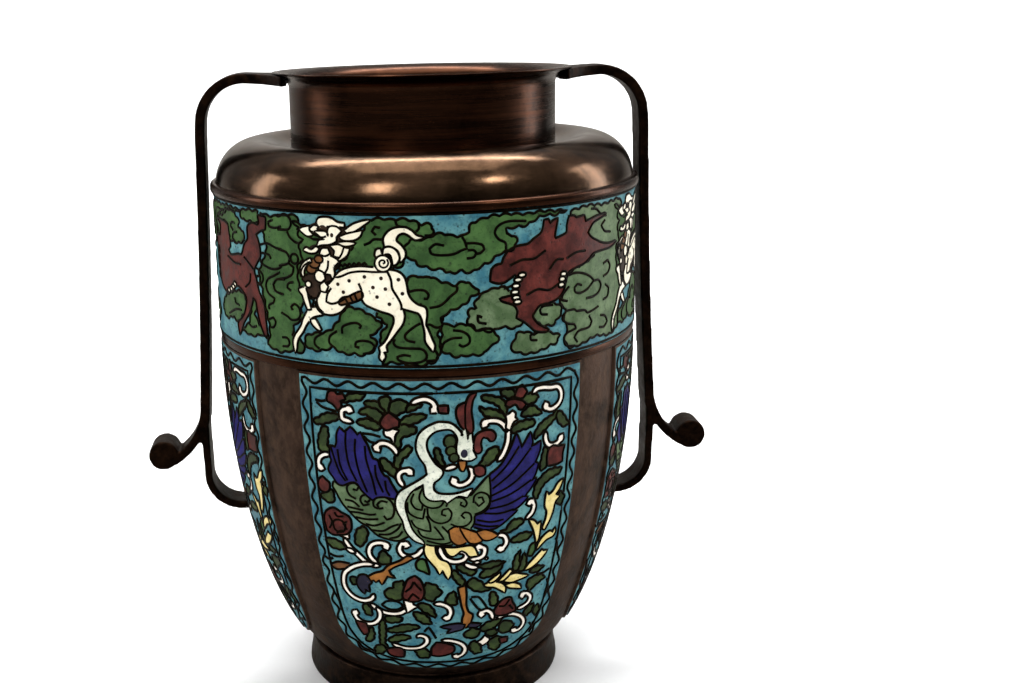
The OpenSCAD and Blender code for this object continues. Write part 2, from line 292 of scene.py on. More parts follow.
        "-52.5,111 -50,111 -47.5,109.5 -46.5,112 -43,113 -40.5,111.5 -39,109 -36.5,106.5 "
        "-33.5,104.5 -30,106.5 -26,106.5 -23,105 -22.5,101.5 -21.5,97.5 -19.5,93.5 -18.5,90 "
        "-16.5,87 -19,85.5 -22,84 -26,84.5 -31,86 -34,88.5 -36.5,91 -39,92 -41.5,94 -44.5,97 "
        "-46.5,99 -48.5,101.5 -50,104 -51.5,107 -52.8,109",
    )),
    Layer(Form.WIRE, Enamel.SAGE, (
        "-41.5,104 -44.5,105.5 -46,108.5 -45,111 -42,112 -40,110.5 -41,108.5 -43,108.8",
        "-35,102 -38,101 -39.5,103.5 -38.5,106 -36,106.3 -34.5,104.5 -36,102.8 -37.5,103.5",
        "-31,100 -33,101 -33,104 -30.5,106 -27,105.8 -24.5,103.5 -23.5,100 -24.5,96 -27,94.5 "
        "-28.5,96.5",
        "-28.5,100.5 -30.5,100 -31.5,102 -29.5,104 -26.5,103.5",
        "-47,103 -43,102.5 -40,100",
        "-46,99.5 -42,99 -38,98.5",
        "-44.5,97 -40,97 -35,96.5 -32,97",
        "-42,94.5 -37,94 -31,94.5",
        "-37,91.5 -33,91 -28,93",
        "-34.5,88.5 -29,88.5 -25,91 -21.5,92.5",
        "-31,86.5 -26,87 -22,90 -20.5,93",
        "-26,84.7 -22,86 -19.8,89",
    )),
    Layer(Form.CELL, Enamel.COBALT, (
        "-54.5,118.5 -53,122 -53.8,124.5 -53.5,129 -51,128.5 -50,131 -49.8,135 -48.5,138.3 "
        "-46.5,136.5 -45.3,137 -43.2,139 -41.5,137.3 -40,135.5 -38.5,136.8 -37,133.5 -35.5,131 "
        "-34.5,128 -33,124.5 -31,124 -30,120 -28,116.5 -26.5,116 -25,113 -23,109.5 -21.8,107.5 "
        "-23.5,105.8 -27.5,106.5 -31.5,106 -33.5,104.5 -36,106.5 -38.5,109 -40.5,112 -43,112.8 "
        "-46,111.5 -48,110.5 -50.5,111 -52.5,114 -54.5,116.5",
        "20.5,115.5 22.5,117 26,120 28.5,124 31,128.5 33,133.8 34.5,130 35.5,126.5 37.5,129 "
        "40.2,133.5 41,129 40.5,126.5 43,127 45.5,128.3 45,124 42.5,118.5 44.3,117.5 43,113 "
        "41,109.5 43.5,110.3 41,106.5 37,102 39,101.5 35,98 31,96 33.5,95.5 29,92 25.5,89.5 22,88 "
        "17,88.5 12,90.5 12.5,93 13,95.5 17,96.5 19.5,99.5 20,103 19.5,108 20,112",
    )),
    Layer(Form.WIRE, Enamel.COBALT, (
        "-53.5,129.3 -52,124 -49.5,117 -46.5,112.5",
        "-50,128 -48.8,120 -45.5,113",
        "-45.5,137 -45.8,130 -44.5,121 -41,113",
        "-41,134 -41.3,127 -39.7,118 -36,108",
        "-36.5,131 -36,124 -33.5,115 -31.8,107",
        "-32,122 -31.5,116 -28.5,108.5",
        "-27.5,114.5 -27,110 -25.5,107",
        "21,112.5 28,119 34.5,128",
        "21.5,108.5 31,115.5 40.5,126",
        "21,105 31,109.5 42.5,118",
        "20.5,102 30,104.5 41,110",
        "20,98.5 29,99.5 37,102.5",
        "17.5,96.5 25,95.5 32,96.5",
        "14,93.5 21,91.5 27,92",
        "13,91.5 19,89.5 24.5,89",
    )),
    Layer(Form.CELL, Enamel.OCHRE, (
        "-15.5,74.5 -19,72 -24,69.5 -27,67 -26,64.5 -24,63 -27.5,64 -29,61 -30,58.8 -31.5,61.5 "
        "-33,59.8 -34,61 -38,59 -36.5,62 -33,64.5 -29.5,66 -26.5,69.5 -21,72.5 -18,75",
        "6,56.5 8.8,57.5 9.3,52 9.3,46 10.5,41.5 12.5,39.5 12.3,37 12,34.5 14.5,33 11,33.5 9.8,31.5 "
        "8.5,34.5 8.3,37.5 9,41 7.8,46 7,51",
    )),
    Layer(Form.CELL, Enamel.DARK, (
        "-38,62.5 -41,62 -42.5,58.5 -41.5,55 -39,52 -38.5,55 -36.5,53.5 -37,57 -35.5,59",
        "-2,33 2,34 6,34.3 9,33.5 8,31 4.5,30 1,28.8 3,31.5",
        "12,34 17,32.8 15,31.5 11,32",
    )),
    Layer(Form.CELL, Enamel.YELLOW, (
        "-9.2,82.5 -7,82.5 -5.5,80.5 -5,77 -3,73.5 0.5,71.5 2,68 2,65 1,62.5 -0.5,65.5 -1.5,68 "
        "-3,65.5 -4.5,69 -7,72.5 -9,75.5 -9.8,79",
        "-0.5,79.8 4,79.3 11,79.8 13,78.5 14,76 14.5,74.5 11,74.5 9.5,76.5 7,78 5,76.5 3,75.3 "
        "1,76.5",
    )),
    Layer(Form.CELL, Enamel.SAGE, (
        "-9.5,112.5 -11.5,111 -16.5,108 -18.5,104 -18.5,99 -17,94 -15,89 -12,85 -8,82 0,81.5 5,83 "
        "12,91 13,96 18,98 20,102 20,110 19.5,115 14,109 11,106 3,105 0,103.5 -9.5,108",
    )),
    Layer(Form.WIRE, Enamel.SAGE, (
        "-9.5,112.5 -11.5,109 -12,105.5 -10,102.5 -6.5,101 -3,101.5 -1.2,103.5 -2.5,105.5 -4,104.3",
        "-14.5,108.5 -15.8,104.5 -14,101 -11,100 -10.5,103",
        "-17.5,104 -17,99 -14,96.5 -10.5,95.5 -9.5,101",
        "-16,95 -14,91.5 -10,89.5 -7,89 -7.5,93 -9,97",
        "-13,90 -11,86.5 -6,84.8 -1,84.5 -3,88 -5.5,91.5",
        "-9,84 -2,82 3,83 1.5,87 -2,91.5",
        "-8.5,101 -8,97 -5.5,94 -2,93 1.5,94.5 2.5,98 1,100.5 -1.5,99.8 -2,97.5 0,96.8",
        "0,101.5 1.5,104.5 4.5,106 8,105 9.5,102.5 8.5,100.8 6.5,102 7,103.5",
        "12.5,102.5 13,106 16,107.5 19.5,105.5 20,101.5 17,98 13,96.5",
        "13,103 15,100.5 17.5,102.5 16.5,105 14.5,104.8",
        "2,92.5 5,91 9,91 11.5,93.5 11,97 8.5,98 7,96.5 8.5,94.8",
    )),
    Layer(Form.CELL, Enamel.OCHRE, (
        "1.5,89 4,90.5 6,89.5 10,83 7.5,81.5 5,81.5 2.5,84",
        "6.5,90 10,88.5 14,86.5 18,84.5 16,82 12,81.5 9.5,84",
        "14.5,87 18,87.5 21.5,86 24,84 21,82.5 17.5,82.8",
    )),
    Layer(Form.CELL, Enamel.SPECKLE, (
        "7.5,136 5,139.5 2,141.8 -2,142.4 -4,142.2 -8.5,140 -11.8,136.5 -12.8,131 -11.5,126.5 "
        "-9,122.5 -8.3,119 -8.3,117.5 -12.5,114.3 -17,111.5 -20.5,109 -22.3,105.5 -22.5,102 "
        "-21.5,98.5 -19.5,94.5 -18.5,90 -16.5,86.5 -14,84 -10,82.3 -11,84 -13,86 -15.5,89.5 "
        "-16.8,93 -18,97 -18.8,101 -18.5,104.5 -16.5,108.5 -14,111 -10,113.5 -9.8,111 -9.3,107.5 "
        "-7.5,105.5 -5,104.9 -1,105 0.5,103.5 3,105.5 6,106.8 9.5,105.8 11.8,109.5 9,108.5 5,107.5 "
        "1,107.3 -3,107.8 -5.5,109.5 -6,112 -5.5,114 -3.5,115.5 -1.8,117.8 -2,120 -4.8,122.5 "
        "-7.5,127 -8.8,131 -8.3,135 -5,138.5 0,139.6 3,139 5,136.5 5.8,134 5.3,131 5.3,128.5 6,126 "
        "7.5,124.5 9.5,124 11.5,124 13.5,125 12.8,126.8 12,128.5 12.2,131 11.8,134 11.5,138.5 "
        "10,133.5 8.5,140.5 7.5,136",
    )),
    Layer(Form.CELL, Enamel.RED, (
        "8.5,139 6.5,142 5.3,146.5 6,149.5 9,151 9.3,147 9,142",
        "9.5,139.5 9.3,146 9.5,150 11,154 13.8,155.3 12,152 11.3,147 12,142 12,138 11.2,137",
        "13,129 13.3,133 14.2,135.5 17,137 20.5,137 22.5,135 22,132.8 20.5,132.5 19.5,134 17,134.8 "
        "16,133.5 15.5,131 16,129 15.5,127.5 14.2,127.2",
        "13,120 15.5,120.5 17.5,119 17.5,116.5 15.5,115.8 13.5,117",
    )),
    Layer(Form.CELL, Enamel.OCHRE, (
        "6,123.5 8.8,123.5 8.8,121.5 7.8,119 7,119.5 6.3,121.5",
    )),
    Layer(Form.SPOT, Enamel.OLIVE, (
        "2,133.5:2.4,2.6",
        "2.5,129:1.9,1.9",
        "3.8,125.6:1.8,1.8",
    )),
    Layer(Form.DOT, Enamel.DARK, (
        "8.3,127.3:1.6,2.1",
    )),
    Layer(Form.WIRE, Enamel.RED, (
        "-19,55 -16.5,57.5 -15,61",
        "-11.5,56 -13.5,58.5 -15,61",
        "-17.5,50.5 -15.5,54 -12.5,51",
        "26,42.5 29,42 31.5,45.5",
        "31.5,42 33.5,39",
        "-56,86.5 -54.5,90 -56,93.5",
        "-53,95.5 -51.5,93.5 -48,94",
        "-46.5,91.5 -48.5,90 -46.8,87",
        "-52,84.5 -50,86 -48,85.5",
    )),
)

DEER = (
    Layer(Form.WIRE, Enamel.TURQUOISE, (
        "-82.9,68.3 -41,68.2 0,68.3 41,68.2 82.9,68.3",
        "-82.9,0.9 -41,1 0,0.9 41,1 82.9,0.9",
    )),
    Layer(Form.CLOUD, Enamel.GREEN, (
        "-34,62 -31.5,65.5 -27,66.5 -22,66 -17,66.3 -12,65.3 -9.5,64 -6,64 -4,62.3 -4.3,60 -12,57 "
        "-16,55 -17,47 -24,44.5 -36,44.5 -44,44 -48,46 -46,49 -43,53 -41,57 -35,60",
        "-16.3,51 -15.5,55 -13,57.3 -8,57.3 -4,59 0,59.8 3,58.8 8,58.3 10.3,58.8 11.8,61 13,63.5 "
        "17,65 22,66.3 30,66.6 38,66 46,66.5 54,66 60,65.8 54,64.5 47,64.8 42,63 38,61.2 32,60.8 "
        "28.5,60.3 28.3,58 32,56.8 33.5,54.5 31.5,51.2 28,50.5 25,49.5 22.5,47.8 20,46 17,45 14,43 "
        "10,42.5 7.5,43.5 5,42.5 1.5,43 0.5,44.5 -3,44.3 -6.5,45.3 -10.5,46.5 -12,48 -14.5,49.8",
        "-28,27 -24,26 -20,27.5 -14,27 -9,24.5 -4,26 -0.5,22 -2.5,16 -1.5,10 -3.5,4 -9,1.8 -16,2 "
        "-22,3 -27,2.2 -26,8 -28,14 -24.5,20 -29,23.5",
        "-15.5,40 -14,41 -10,41.3 -8.5,40.5 -5,41 -2,39 1,38.3 3.5,37 6,37 8,38 11,38 12.3,36 15,35 "
        "15.3,33.3 13.5,32 11.5,31 9.5,28.5 6,27 1,24.5 -0.8,22.5 -1,20 0.5,18.5 -3,19 -8,20 -9,28 "
        "-16,30 -15,36",
        "-0.5,20.5 3,19 8,19.3 12,18.8 14.5,16.5 17,16.3 20,17 22.5,14.5 24,13.5 24.3,11.5 22.5,9.5 "
        "20,8.5 18,6 14.5,5.3 10,5.5 6,5 3,6 0,7.5 -1.3,9",
        "-65,10 -63,12.8 -58,14.2 -54,14.8 -50.5,16.8 -48.5,19 -46,22.5 -44,26 -40,27 -34,25 -31,23 "
        "-28.5,21.5 -27.5,19.5 -29,17 -32.5,15 -30,12 -30.3,9 -33,7 -36,5.8 -40,6.2 -44,6 -47.5,7 "
        "-50,8.5 -55,6.8 -60,6.3 -63.5,7.5",
    )),
    Layer(Form.WIRE, Enamel.GREEN, (
        "0.8,54.5 -3,55.2 -5.5,53.3 -4.5,51 0,50.3 5,50.7 8,52 11,53",
        "10.5,55 14,55 17.5,54 18.3,52 16.5,50.5 14,50.3",
        "10.5,48.5 13.5,48.8 14.8,50.8 13.5,52 11,52",
        "38,63 30,63.5 25,62 23.2,59 25,56 28,54.3 28.3,51.5",
        "8.5,58 9.8,56 10.5,53.5",
        "-26.5,62.5 -29,63 -30.3,61 -28.5,59.3",
        "-26,57.5 -29.5,57.5 -31.5,56 -34,55",
        "-20,66 -19,63.5 -15,62.8",
        "-10,65 -10,62 -12,60.5",
        "-15,34.5 -11.5,35.3 -8,35 -6.3,33 -7,31.3 -8.5,31.5",
        "6,37 6,34.5 3,32 0.5,29.5 -2,28 -6,27.3",
        "-12.5,12 -16,13 -17,15 -15,17.3 -12,19.5 -10,20.5",
        "-21.5,13.5 -22,11.5 -20,9.8 -15,9.3 -10,9 -7.8,7 -8,4.5 -11,3 -16,2.8 -20,4 -20.5,5.5 "
        "-17.5,6.3 -14.5,5.8",
        "-4,8.5 -2.8,6 -3.5,4 -8,3.5",
        "4,17 8,16.3 11,14 11.2,11 8.5,9.5 6.5,10.5",
        "-1,9 0,11.5 3.5,13.3 8,13.5",
        "-48,16 -51.5,13.5 -52,10.5 -50,8.5",
        "-54.5,14.8 -59,12 -59.5,9 -57,7",
        "-37.5,9 -39.5,9.5 -39,11.5 -36,12.3 -32.5,11.8 -30.5,10 -32,7.5 -36,6.3",
        "-45.5,15 -45.3,18 -42,19.7 -38.5,20.2 -36.5,19 -37.3,17.8",
    )),
    Layer(Form.CLOUD, Enamel.GREEN, (
        "-70,64 -66,61.5 -66,58 -64,56 -66,52 -64,47 -67,44 -67,38 -66,34 -60,30 -55,32 -50,40 "
        "-46,46 -42,50 -39,56 -42,60 -50,60 -58,60 -62,62",
    )),
    Layer(Form.DOT, Enamel.UMBER, (
        "-52,61:9.2,3.6",
        "-49,55:7.5,4.2",
        "-54,52.5:6.5,2.2",
        "-43,60:7,3.2",
        "-46.5,50.5:3.6,2.6",
    )),
    Layer(Form.CELL, Enamel.CREAM, (
        "-58,26 -62,24.5 -65,20 -66.5,16.5 -70,12 -71.3,9 -71,6 -70.5,4 -69.8,6 -69,10 -66,14 "
        "-63.5,18 -60,21.5 -55,23 -54,23.7 -56.5,25.5",
        "-61,20 -59,20.5 -57.5,18.5 -56,16 -57,15.7 -59,17 -60.5,18.5",
        "-66.8,33.5 -65,34.3 -63,34.5 -62.5,31 -61.5,27 -61,25 -62.5,24.8 -64,28 -65,31 -66.5,32.5",
        "-24.8,54.8 -25,58 -23,60.8 -20,62.3 -16,62.5 -13,61 -11,59 -8,58.2 -11.5,57.5 -14,59.3 "
        "-16.5,60.5 -19,59.5 -20,57 -18,55 -16.3,52.5 -16.3,50 -18,47.8 -18.5,52 -20.5,54 -23,54.5",
        "-25.5,51 -25,53.5 -22.5,54 -20,52.5 -18.8,49.5 -20,47 -21.2,46.5 -22,50.5 -23.5,51.5",
        "-29,50.5 -28.5,52.8 -27,53.3 -26.5,51.3 -28,49.5",
    )),
    Layer(Form.CELL, Enamel.CREAM, (
        "-49,41 -45,42.3 -40,43.3 -33,43.2 -27,43 -24,44 -19.5,43.2 -17,41 -16,37.5 -15.5,34 -14,31 "
        "-11,28.5 -8,27.3 -7.5,24 -8,20 -7,17.5 -5.5,13.5 -4.3,10.3 -4.8,8 -6.2,9.8 -7.8,12.5 "
        "-8,16.5 -8.7,20 -9.2,22.5 -10.5,25 -13,26 -18,27.5 -17.2,24 -18,20.5 -20.5,17 -23.5,13 "
        "-25.5,10.5 -25.2,8 -26.8,7.5 -26,5.5 -27.3,3.5 -28.3,5 -27.8,7.5 -28.2,9.5 -26.8,10.8 "
        "-25,13 -23,17 -21.5,20.5 -21.5,23.5 -23.5,25 -27,26 -31,27.5 -34,29 -35.3,31 -35.5,33.5 "
        "-40,30.5 -43.5,27.5 -46,25 -50,23.5 -54,23.7 -56.5,25 -58,28 -57,32 -54.5,34",
    )),
    Layer(Form.CELL, Enamel.BROWN, (
        "-46.5,29 -44.5,31 -42,31.5 -39,33 -36,34.3 -35.5,32.5 -37,31 -40,29.8 -43,29 -45.5,28.3",
    )),
    Layer(Form.WIRE, Enamel.BROWN, (
        "-43.7,31.6 -42.5,29.2",
        "-41.2,32 -40,29.9",
        "-39,33 -38,30.5",
    )),
    Layer(Form.CELL, Enamel.CREAM, (
        "-57,35 -58,39 -56,42 -55,47 -52,49.5 -49,49 -46,47.5 -48.5,44.5 -48.5,41 -51,38 -54,35.5",
    )),
    Layer(Form.CELL, Enamel.UMBER, (
        "-63.5,39.5 -60,41 -57,42.5 -54,41 -50.5,40.8 -50,39 -53,37.5 -54,35.5 -56,33.5 -57.5,30.8 "
        "-60.5,30.8 -62.3,33.5 -62.8,36.5 -64.5,38.3",
    )),
    Layer(Form.SPOT, Enamel.CREAM, (
        "-61.6,36.2:1.3,1.2",
    )),
    Layer(Form.SPOT, Enamel.BROWN, (
        "-59.8,43:2.2,1.6",
        "-58,45.8:2.4,1.8",
        "-55.8,47.8:1.8,1.4",
    )),
    Layer(Form.CELL, Enamel.CREAM, (
        "-65.2,39.6 -65.4,43 -63.2,46 -60.2,47.7 -59.7,46.5 -62.2,44.9 -63.8,42.4 -63.9,39.8",
        "-57.8,40.6 -56.3,42.4 -53.8,41.6 -53.2,39.2 -55.2,37.8 -57.2,38.6",
        "-55.2,36.2 -53.4,37.6 -51.8,35.8 -53,33.6 -55,33.9",
        "-54.8,50.2 -53.8,52.4 -51.2,52.6 -50.4,50.8 -52.4,49.8",
        "-65,60.5 -63.5,61.3 -60.3,62 -60.3,60.3 -58.5,58.5 -61,58 -63.5,59.3",
        "-59.5,61 -57.5,62.5 -55.8,62.2 -57,60.5 -58.8,60.3",
        "-56,64 -55,65.8 -52,66.3 -49,66 -46,64.3 -43,64 -43,62.8 -48,63 -52,62.8 -54.5,62.3",
        "-57,60 -52,60 -50.5,58 -50.5,60.5 -49.5,62.3 -46.5,62.3 -44.5,60.8 -47,58 -47,56.5 -50,55 "
        "-54,54.5 -56,53.8 -55,56 -52,56.5",
        "-63.3,51.3 -62,52.5 -59.5,51.5 -57,53 -55.8,52.5 -57,51 -60,50.5",
        "-42.5,61 -39,63.5 -35,65 -31.2,65.8 -34,63.8 -38,61.2 -41,60.2",
        "-45,58 -42,59.3 -38,60.3 -35,61 -35.8,59 -38.5,57.3 -43,57",
        "-45.8,55.5 -42,56 -38,55.7 -40,54.8 -43,54.5",
        "-49.5,54 -46,54.5 -43.5,53.5 -43.5,51 -46,49.5 -48,50 -47.5,52",
        "-43,53.3 -41,53 -42,50.5 -44.5,48.5 -46,47.8 -44,50.5",
    )),
    Layer(Form.CELL, Enamel.CREAM, (
        "-47.8,40.5 -45,43 -41,44.5 -36,45.2 -30,45 -24,45.3 -24.5,43.8 -30,43.7 -36,43.8 -41,43 "
        "-45,41.3",
    )),
    Layer(Form.DOT, Enamel.UMBER, (
        "-46.7,37.2:0.85,0.85",
        "-41.3,39:0.85,0.85",
        "-44.2,33.8:0.85,0.85",
        "-34.2,41:0.85,0.85",
        "-30.5,36.4:0.85,0.85",
        "-28.8,32.2:0.85,0.85",
        "-26.8,40.5:0.85,0.85",
        "-25,35.8:0.85,0.85",
        "-23.4,29.1:0.85,0.85",
        "-19.2,40:0.85,0.85",
        "-17.6,33.8:0.85,0.85",
        "-53.2,62.4:1.4,0.7",
        "-48.8,58.8:0.8,1",
    )),
    Layer(Form.WIRE, Enamel.CREAM, (
        "-24,43.5 -22.5,40 -22,36 -20,32.5 -18.3,29 -18.3,26.5",
        "-37,38 -35.8,35 -35.5,31.5",
        "-60,46.5 -63.5,44.5 -65.3,41.5 -64.5,39",
        "-50,35.3 -52,32.5 -52.8,29 -50,28.2 -46.5,29.3 -43,31.2",
        "-56,33 -57.5,29.5 -56.8,26 -54.3,23.8",
        "-60.5,31 -59.3,28.5 -60.8,25.8",
        "-58,58.8 -54,57.6 -51.5,58.2",
        "-53.5,41 -51.5,44 -51,47.5",
        "-60,57.5 -58,56.5 -54,56.8",
        "-47.5,44.5 -46.8,45.8 -46,44.9 -45,46.1 -44.2,45.1 -43,46.3 -42.2,45.4 -41,46.6 -40,45.7 "
        "-38.8,46.9 -37.8,46 -36.5,47.1 -35.5,46.1 -34,47.2 -33,46.1",
    )),
    Layer(Form.SPOT, Enamel.CREAM, (
        "-25.8,47:3.3,3.3",
    )),
    Layer(Form.WIRE, Enamel.CREAM, (
        "-25.8,47 -24.9,47.4 -25.2,48.3 -26.4,48.5 -27.4,47.5 -27.1,46 -25.7,45.2 -24.1,45.8 "
        "-23.4,47.4 -24,49",
    )),
)

RED_BEAST = (
    Layer(Form.CLOUD, Enamel.SAGE, (
        "10.8,22.8 11,24.5 12,26 14.5,26.5 14,28.5 15.5,31 18.5,33 20,34 24,34.3 26,35 33,31 36,27 "
        "37,20 33,16 26,17 21,15.5 14,17 11,19.5",
        "62,65 74,66.3 86,65.5 100,66.3 104,64 103,58 105,52 104,46 105,38 103,30 104,22 102,14 "
        "100,6 92,3.5 80,5 70,3.2 62,3 59,8 61,12 58,17 60,21 56.5,24 58,30 62,37 70,40 77,42 80,46 "
        "74,50 73,56 70,60 64,60",
        "41,20.5 43,24 47,25.5 52,25 56.5,22.5 57,20 54.5,17 52,15 47,15.3 44,17",
        "30,6.5 32,10 33.5,13 37,13.5 42,12 47,12.5 52,11 56,9.5 54,6.5 50,5.5 45,4 38,3.5 33,5",
    )),
    Layer(Form.WIRE, Enamel.SAGE, (
        "17,22 15,23 15.5,20 19,19",
        "49,20 46,20.5 45,22.5 47,24 52,24",
        "43.5,9 40.5,9.5 40,11.5 43,12.5 48,12",
        "60.5,36 65,36.7 70,36 75,34 78.5,31.5 76,29.5 73.5,28 69,27 65.5,28 65,30 67,31.3 "
        "69.5,30.5",
        "78,31 82,31 84,28.5 82.5,25.5 79,24 73,23.8",
        "60.5,24.5 57,25.5 58,28 61.5,31",
        "59,20 65,20 66.5,19 72,18.5 74,17 78,17.5 82,18.5",
        "59,19.5 58.5,16 61,14 65,13 66,11 60,9.5 58.5,7 60,4 65,3",
        "75,15.5 77,12.5 75,10 68,9.5 65,7 67,4.5",
        "88,60 84,61 80,64 76,64.5",
        "92,52 87,53 84,56 87,58",
        "86,38 90,39 92,36 90,33 86,32",
        "88,28 91,26 90,22 86,21",
        "70,48 74,47.5 78,48",
        "84,14 88,13 90,10 87,8 83,8.5",
    )),
    Layer(Form.CELL, Enamel.RED, (
        "21.3,38 21.5,40.5 22,43 24,44.5 26.5,45 27.5,47.5 30,50.5 34,52 39,52.5 42,54.5 45.5,56.5 "
        "47,59 47.5,62.3 49.5,62.5 50.5,60.5 52,61.5 54.5,62.5 53.5,58.5 52.8,55 53.5,53.5 56,54 "
        "60,55.5 60.5,59 61.5,62.5 64.5,62.5 66,61.5 71,62 72,59 75,59.5 80,60.5 88,61 84,60 "
        "78,58.5 75.5,56.5 73.5,54 76,51.5 80,49.5 85,47.5 91,46.5 98,46.7 92,45 85,44.8 78,44.3 "
        "75,42.5 71,40.5 66,39.5 61,38 59.5,35 58,30 55,27 50,25.5 45,25 42,22 41,20 43.5,16.5 "
        "46.5,14.5 49.5,13 48,12.5 43,13.5 40,16 37,18.5 33.5,20.5 34,23.5 32,26.5 27,28.5 "
        "25.5,29.5 29,30 33,31 34.5,34.5 34,38.5 32.5,40 30,38.5 27,37 24,37",
    )),
    Layer(Form.WIRE, Enamel.RED, (
        "30,44 36,46 42,46 48,49",
        "38,30 44,32 50,31 55,33",
        "60,44 66,46 72,46",
        "50,40 54,44 58,44",
        "27,34 31,35 33.5,37",
    )),
    Layer(Form.SPOT, Enamel.CREAM, (
        "36,39.3:1.6,0.8",
        "34,37.3:1.6,0.8",
        "33,34.7:1.6,0.8",
        "32.5,32:1.6,0.8",
        "33,29.5:1.6,0.8",
        "33.7,27.5:1.6,0.8",
        "58.3,37.2:1.5,0.9",
        "57.5,35:1.5,0.9",
        "57,32.5:1.5,0.9",
    )),
)

TURNING_BEAST = (
    Layer(Form.CLOUD, Enamel.GREEN, (
        "-66,4 -66,9 -72,12 -70,17 -64,21 -67,25 -63,29 -67,33 -65,38 -66,44 -63,49 -64,55 -60,57 "
        "-66,60 -66,66 -72,66.5 -82,65 -89,66 -88,58 -86,50 -89,44 -92,38 -90,30 -88,22 -86,12 "
        "-88,5 -80,3 -72,4.5",
        "-136,60 -130,62.5 -122,64.5 -115,65 -110,62.5 -107,60 -108.5,57 -104,56 -103,52 -107,50.5 "
        "-112,50 -118,50.5 -119,54 -122,58.5 -130,58",
        "-106,65.5 -100,66.5 -91,66.5 -91,61 -97,61.5 -104,62",
        "-133,18 -128,22 -122,24 -117,25.5 -110,27 -105,25 -104,20 -108,16 -113,12 -120,13 -128,11 "
        "-134,14",
        "-102,14 -98,26 -95,23 -97,18 -93,13 -88,10 -88,8 -93,9 -99,7.5 -106,8 -109,9",
    )),
    Layer(Form.WIRE, Enamel.GREEN, (
        "-78,66 -72,66 -70,63 -72,60 -78,59.5",
        "-72.5,59 -71,56.5 -68,54.5 -65.5,54.3",
        "-78,50.5 -73.5,49.5 -71.5,47 -73,44.5 -78,43",
        "-72,44.5 -69.5,43 -70.5,40 -74,38 -78,37",
        "-70,36.3 -73,35.5 -73.7,33.5 -71.5,32.2",
        "-71,23.3 -72,25 -70,26.3 -67.5,25 -66.8,22 -68.5,19.5 -72,18.8 -74,20 -78,21.5",
        "-78,10 -75,10 -73.8,8 -75,6.3 -78,5.8",
        "-71.2,47 -70.5,45.4 -69,44.8 -67.4,45.4 -66.8,47 -67.4,48.6 -69,49.2 -70.5,48.6 -71.2,47.2",
        "-112,59 -115.5,59 -116.5,57 -114,55.5",
        "-110,55 -114,54 -115,51.5 -112,50",
        "-116,23 -115,20.5 -111,20",
        "-124,14 -119,16 -115,17.5 -109,18",
        "-96,12.5 -100,11.5 -103,13",
        "-91,47.5 -87,47.7 -84,47 -83.5,45.5",
        "-91,45 -90,43 -86,41.5 -82,41 -78,42 -76,44",
        "-98,40 -94,40 -90,38 -89.5,35 -92,32.5 -94.5,34 -94,36.5 -92.5,36.5",
        "-78,40 -82,38 -86,36 -87.5,33 -86,29.5 -82,27.5 -83,25.5 -86,24 -86,22",
        "-75,37 -80,36.5 -82.5,34 -81,31 -76,30",
        "-86,17.5 -83.5,18.5 -82,16.5 -83.5,14 -85,13.7",
        "-90,51.5 -85.5,52.5 -80,51 -76,50.5",
        "-81,63.5 -84,62.5 -83.5,60.5 -80,60 -76,61",
    )),
    Layer(Form.CELL, Enamel.RED, (
        "-91,64.5 -90.5,61.5 -92,60 -96,60.5 -99.5,58.5 -99.8,53 -103,50 -106,45 -110,44.3 -118,43 "
        "-121,45.5 -118,47.5 -120,57 -126,58 -135,58 -140,57 -140,38 -137,30 -130,25 -124,24.8 "
        "-118,27 -112,29.5 -107,28 -103.5,25 -104,21 -106,17 -109,14 -113,11 -112,6 -110,8.5 "
        "-107,13 -102,18 -99.5,22 -98,26 -95.5,24.5 -94.5,20 -93,15 -90,9 -88.3,9.5 -89,16 -89.8,24 "
        "-93,29 -94.5,34 -96,39 -93,43.5 -90.8,46.5 -91.5,52 -93.5,56 -90,58 -86.5,59 -86,64",
    )),
    Layer(Form.WIRE, Enamel.RED, (
        "-104,44 -99,41 -96,39",
        "-122,42 -114,40 -108,40",
        "-104,30 -100,33 -99,37",
    )),
    Layer(Form.SPOT, Enamel.CREAM, (
        "-115,29.5:1.5,0.9",
        "-117,28:1.5,0.9",
        "-119.5,26.5:1.5,0.9",
        "-123,25.3:1.5,0.9",
        "-138,31:0.9,1.5",
        "-138.4,35:0.9,1.5",
        "-138,39:0.9,1.5",
        "-137.4,43:0.9,1.5",
    )),
)


# ---------------------------------------------------------------------------------------------------------
# Small tools
# ---------------------------------------------------------------------------------------------------------

def linear(code: str) -> tuple[float, float, float, float]:
    """Turns an sRGB hex colour to linear light.

    Args:
        code: Six hex digits.

    Returns:
        Red, green, blue and an alpha of 1.
    """
    parts = [int(code[i:i + 2], 16) / 255 for i in (0, 2, 4)]
    r, g, b = (c / 12.92 if c <= 0.04045 else ((c + 0.055) / 1.055) ** 2.4 for c in parts)
    return r, g, b, 1.0


def start_material(name: str) -> tuple[bpy.types.Material, bpy.types.NodeTree, bpy.types.Node]:
    """Starts a node material.

    Args:
        name: Its name.

    Returns:
        The material, its node tree and its shader.
    """
    made = bpy.data.materials.new(name)
    made.use_nodes = True
    return made, made.node_tree, made.node_tree.nodes["Principled BSDF"]


def add(tree: bpy.types.NodeTree, kind: str, props: dict[str, Any],
        inputs: dict[Any, Any]) -> bpy.types.Node:
    """Adds a node with its settings and its links.

    Args:
        tree: The node tree.
        kind: The node's type name.
        props: Properties to set on the node.
        inputs: Socket name or number to a value, or to another node's output to link.

    Returns:
        The new node.
    """
    made = tree.nodes.new(kind)
    for key, value in props.items():
        setattr(made, key, value)
    for key, value in inputs.items():
        if isinstance(value, bpy.types.NodeSocket):
            tree.links.new(value, made.inputs[key])
        else:
            made.inputs[key].default_value = value
    return made


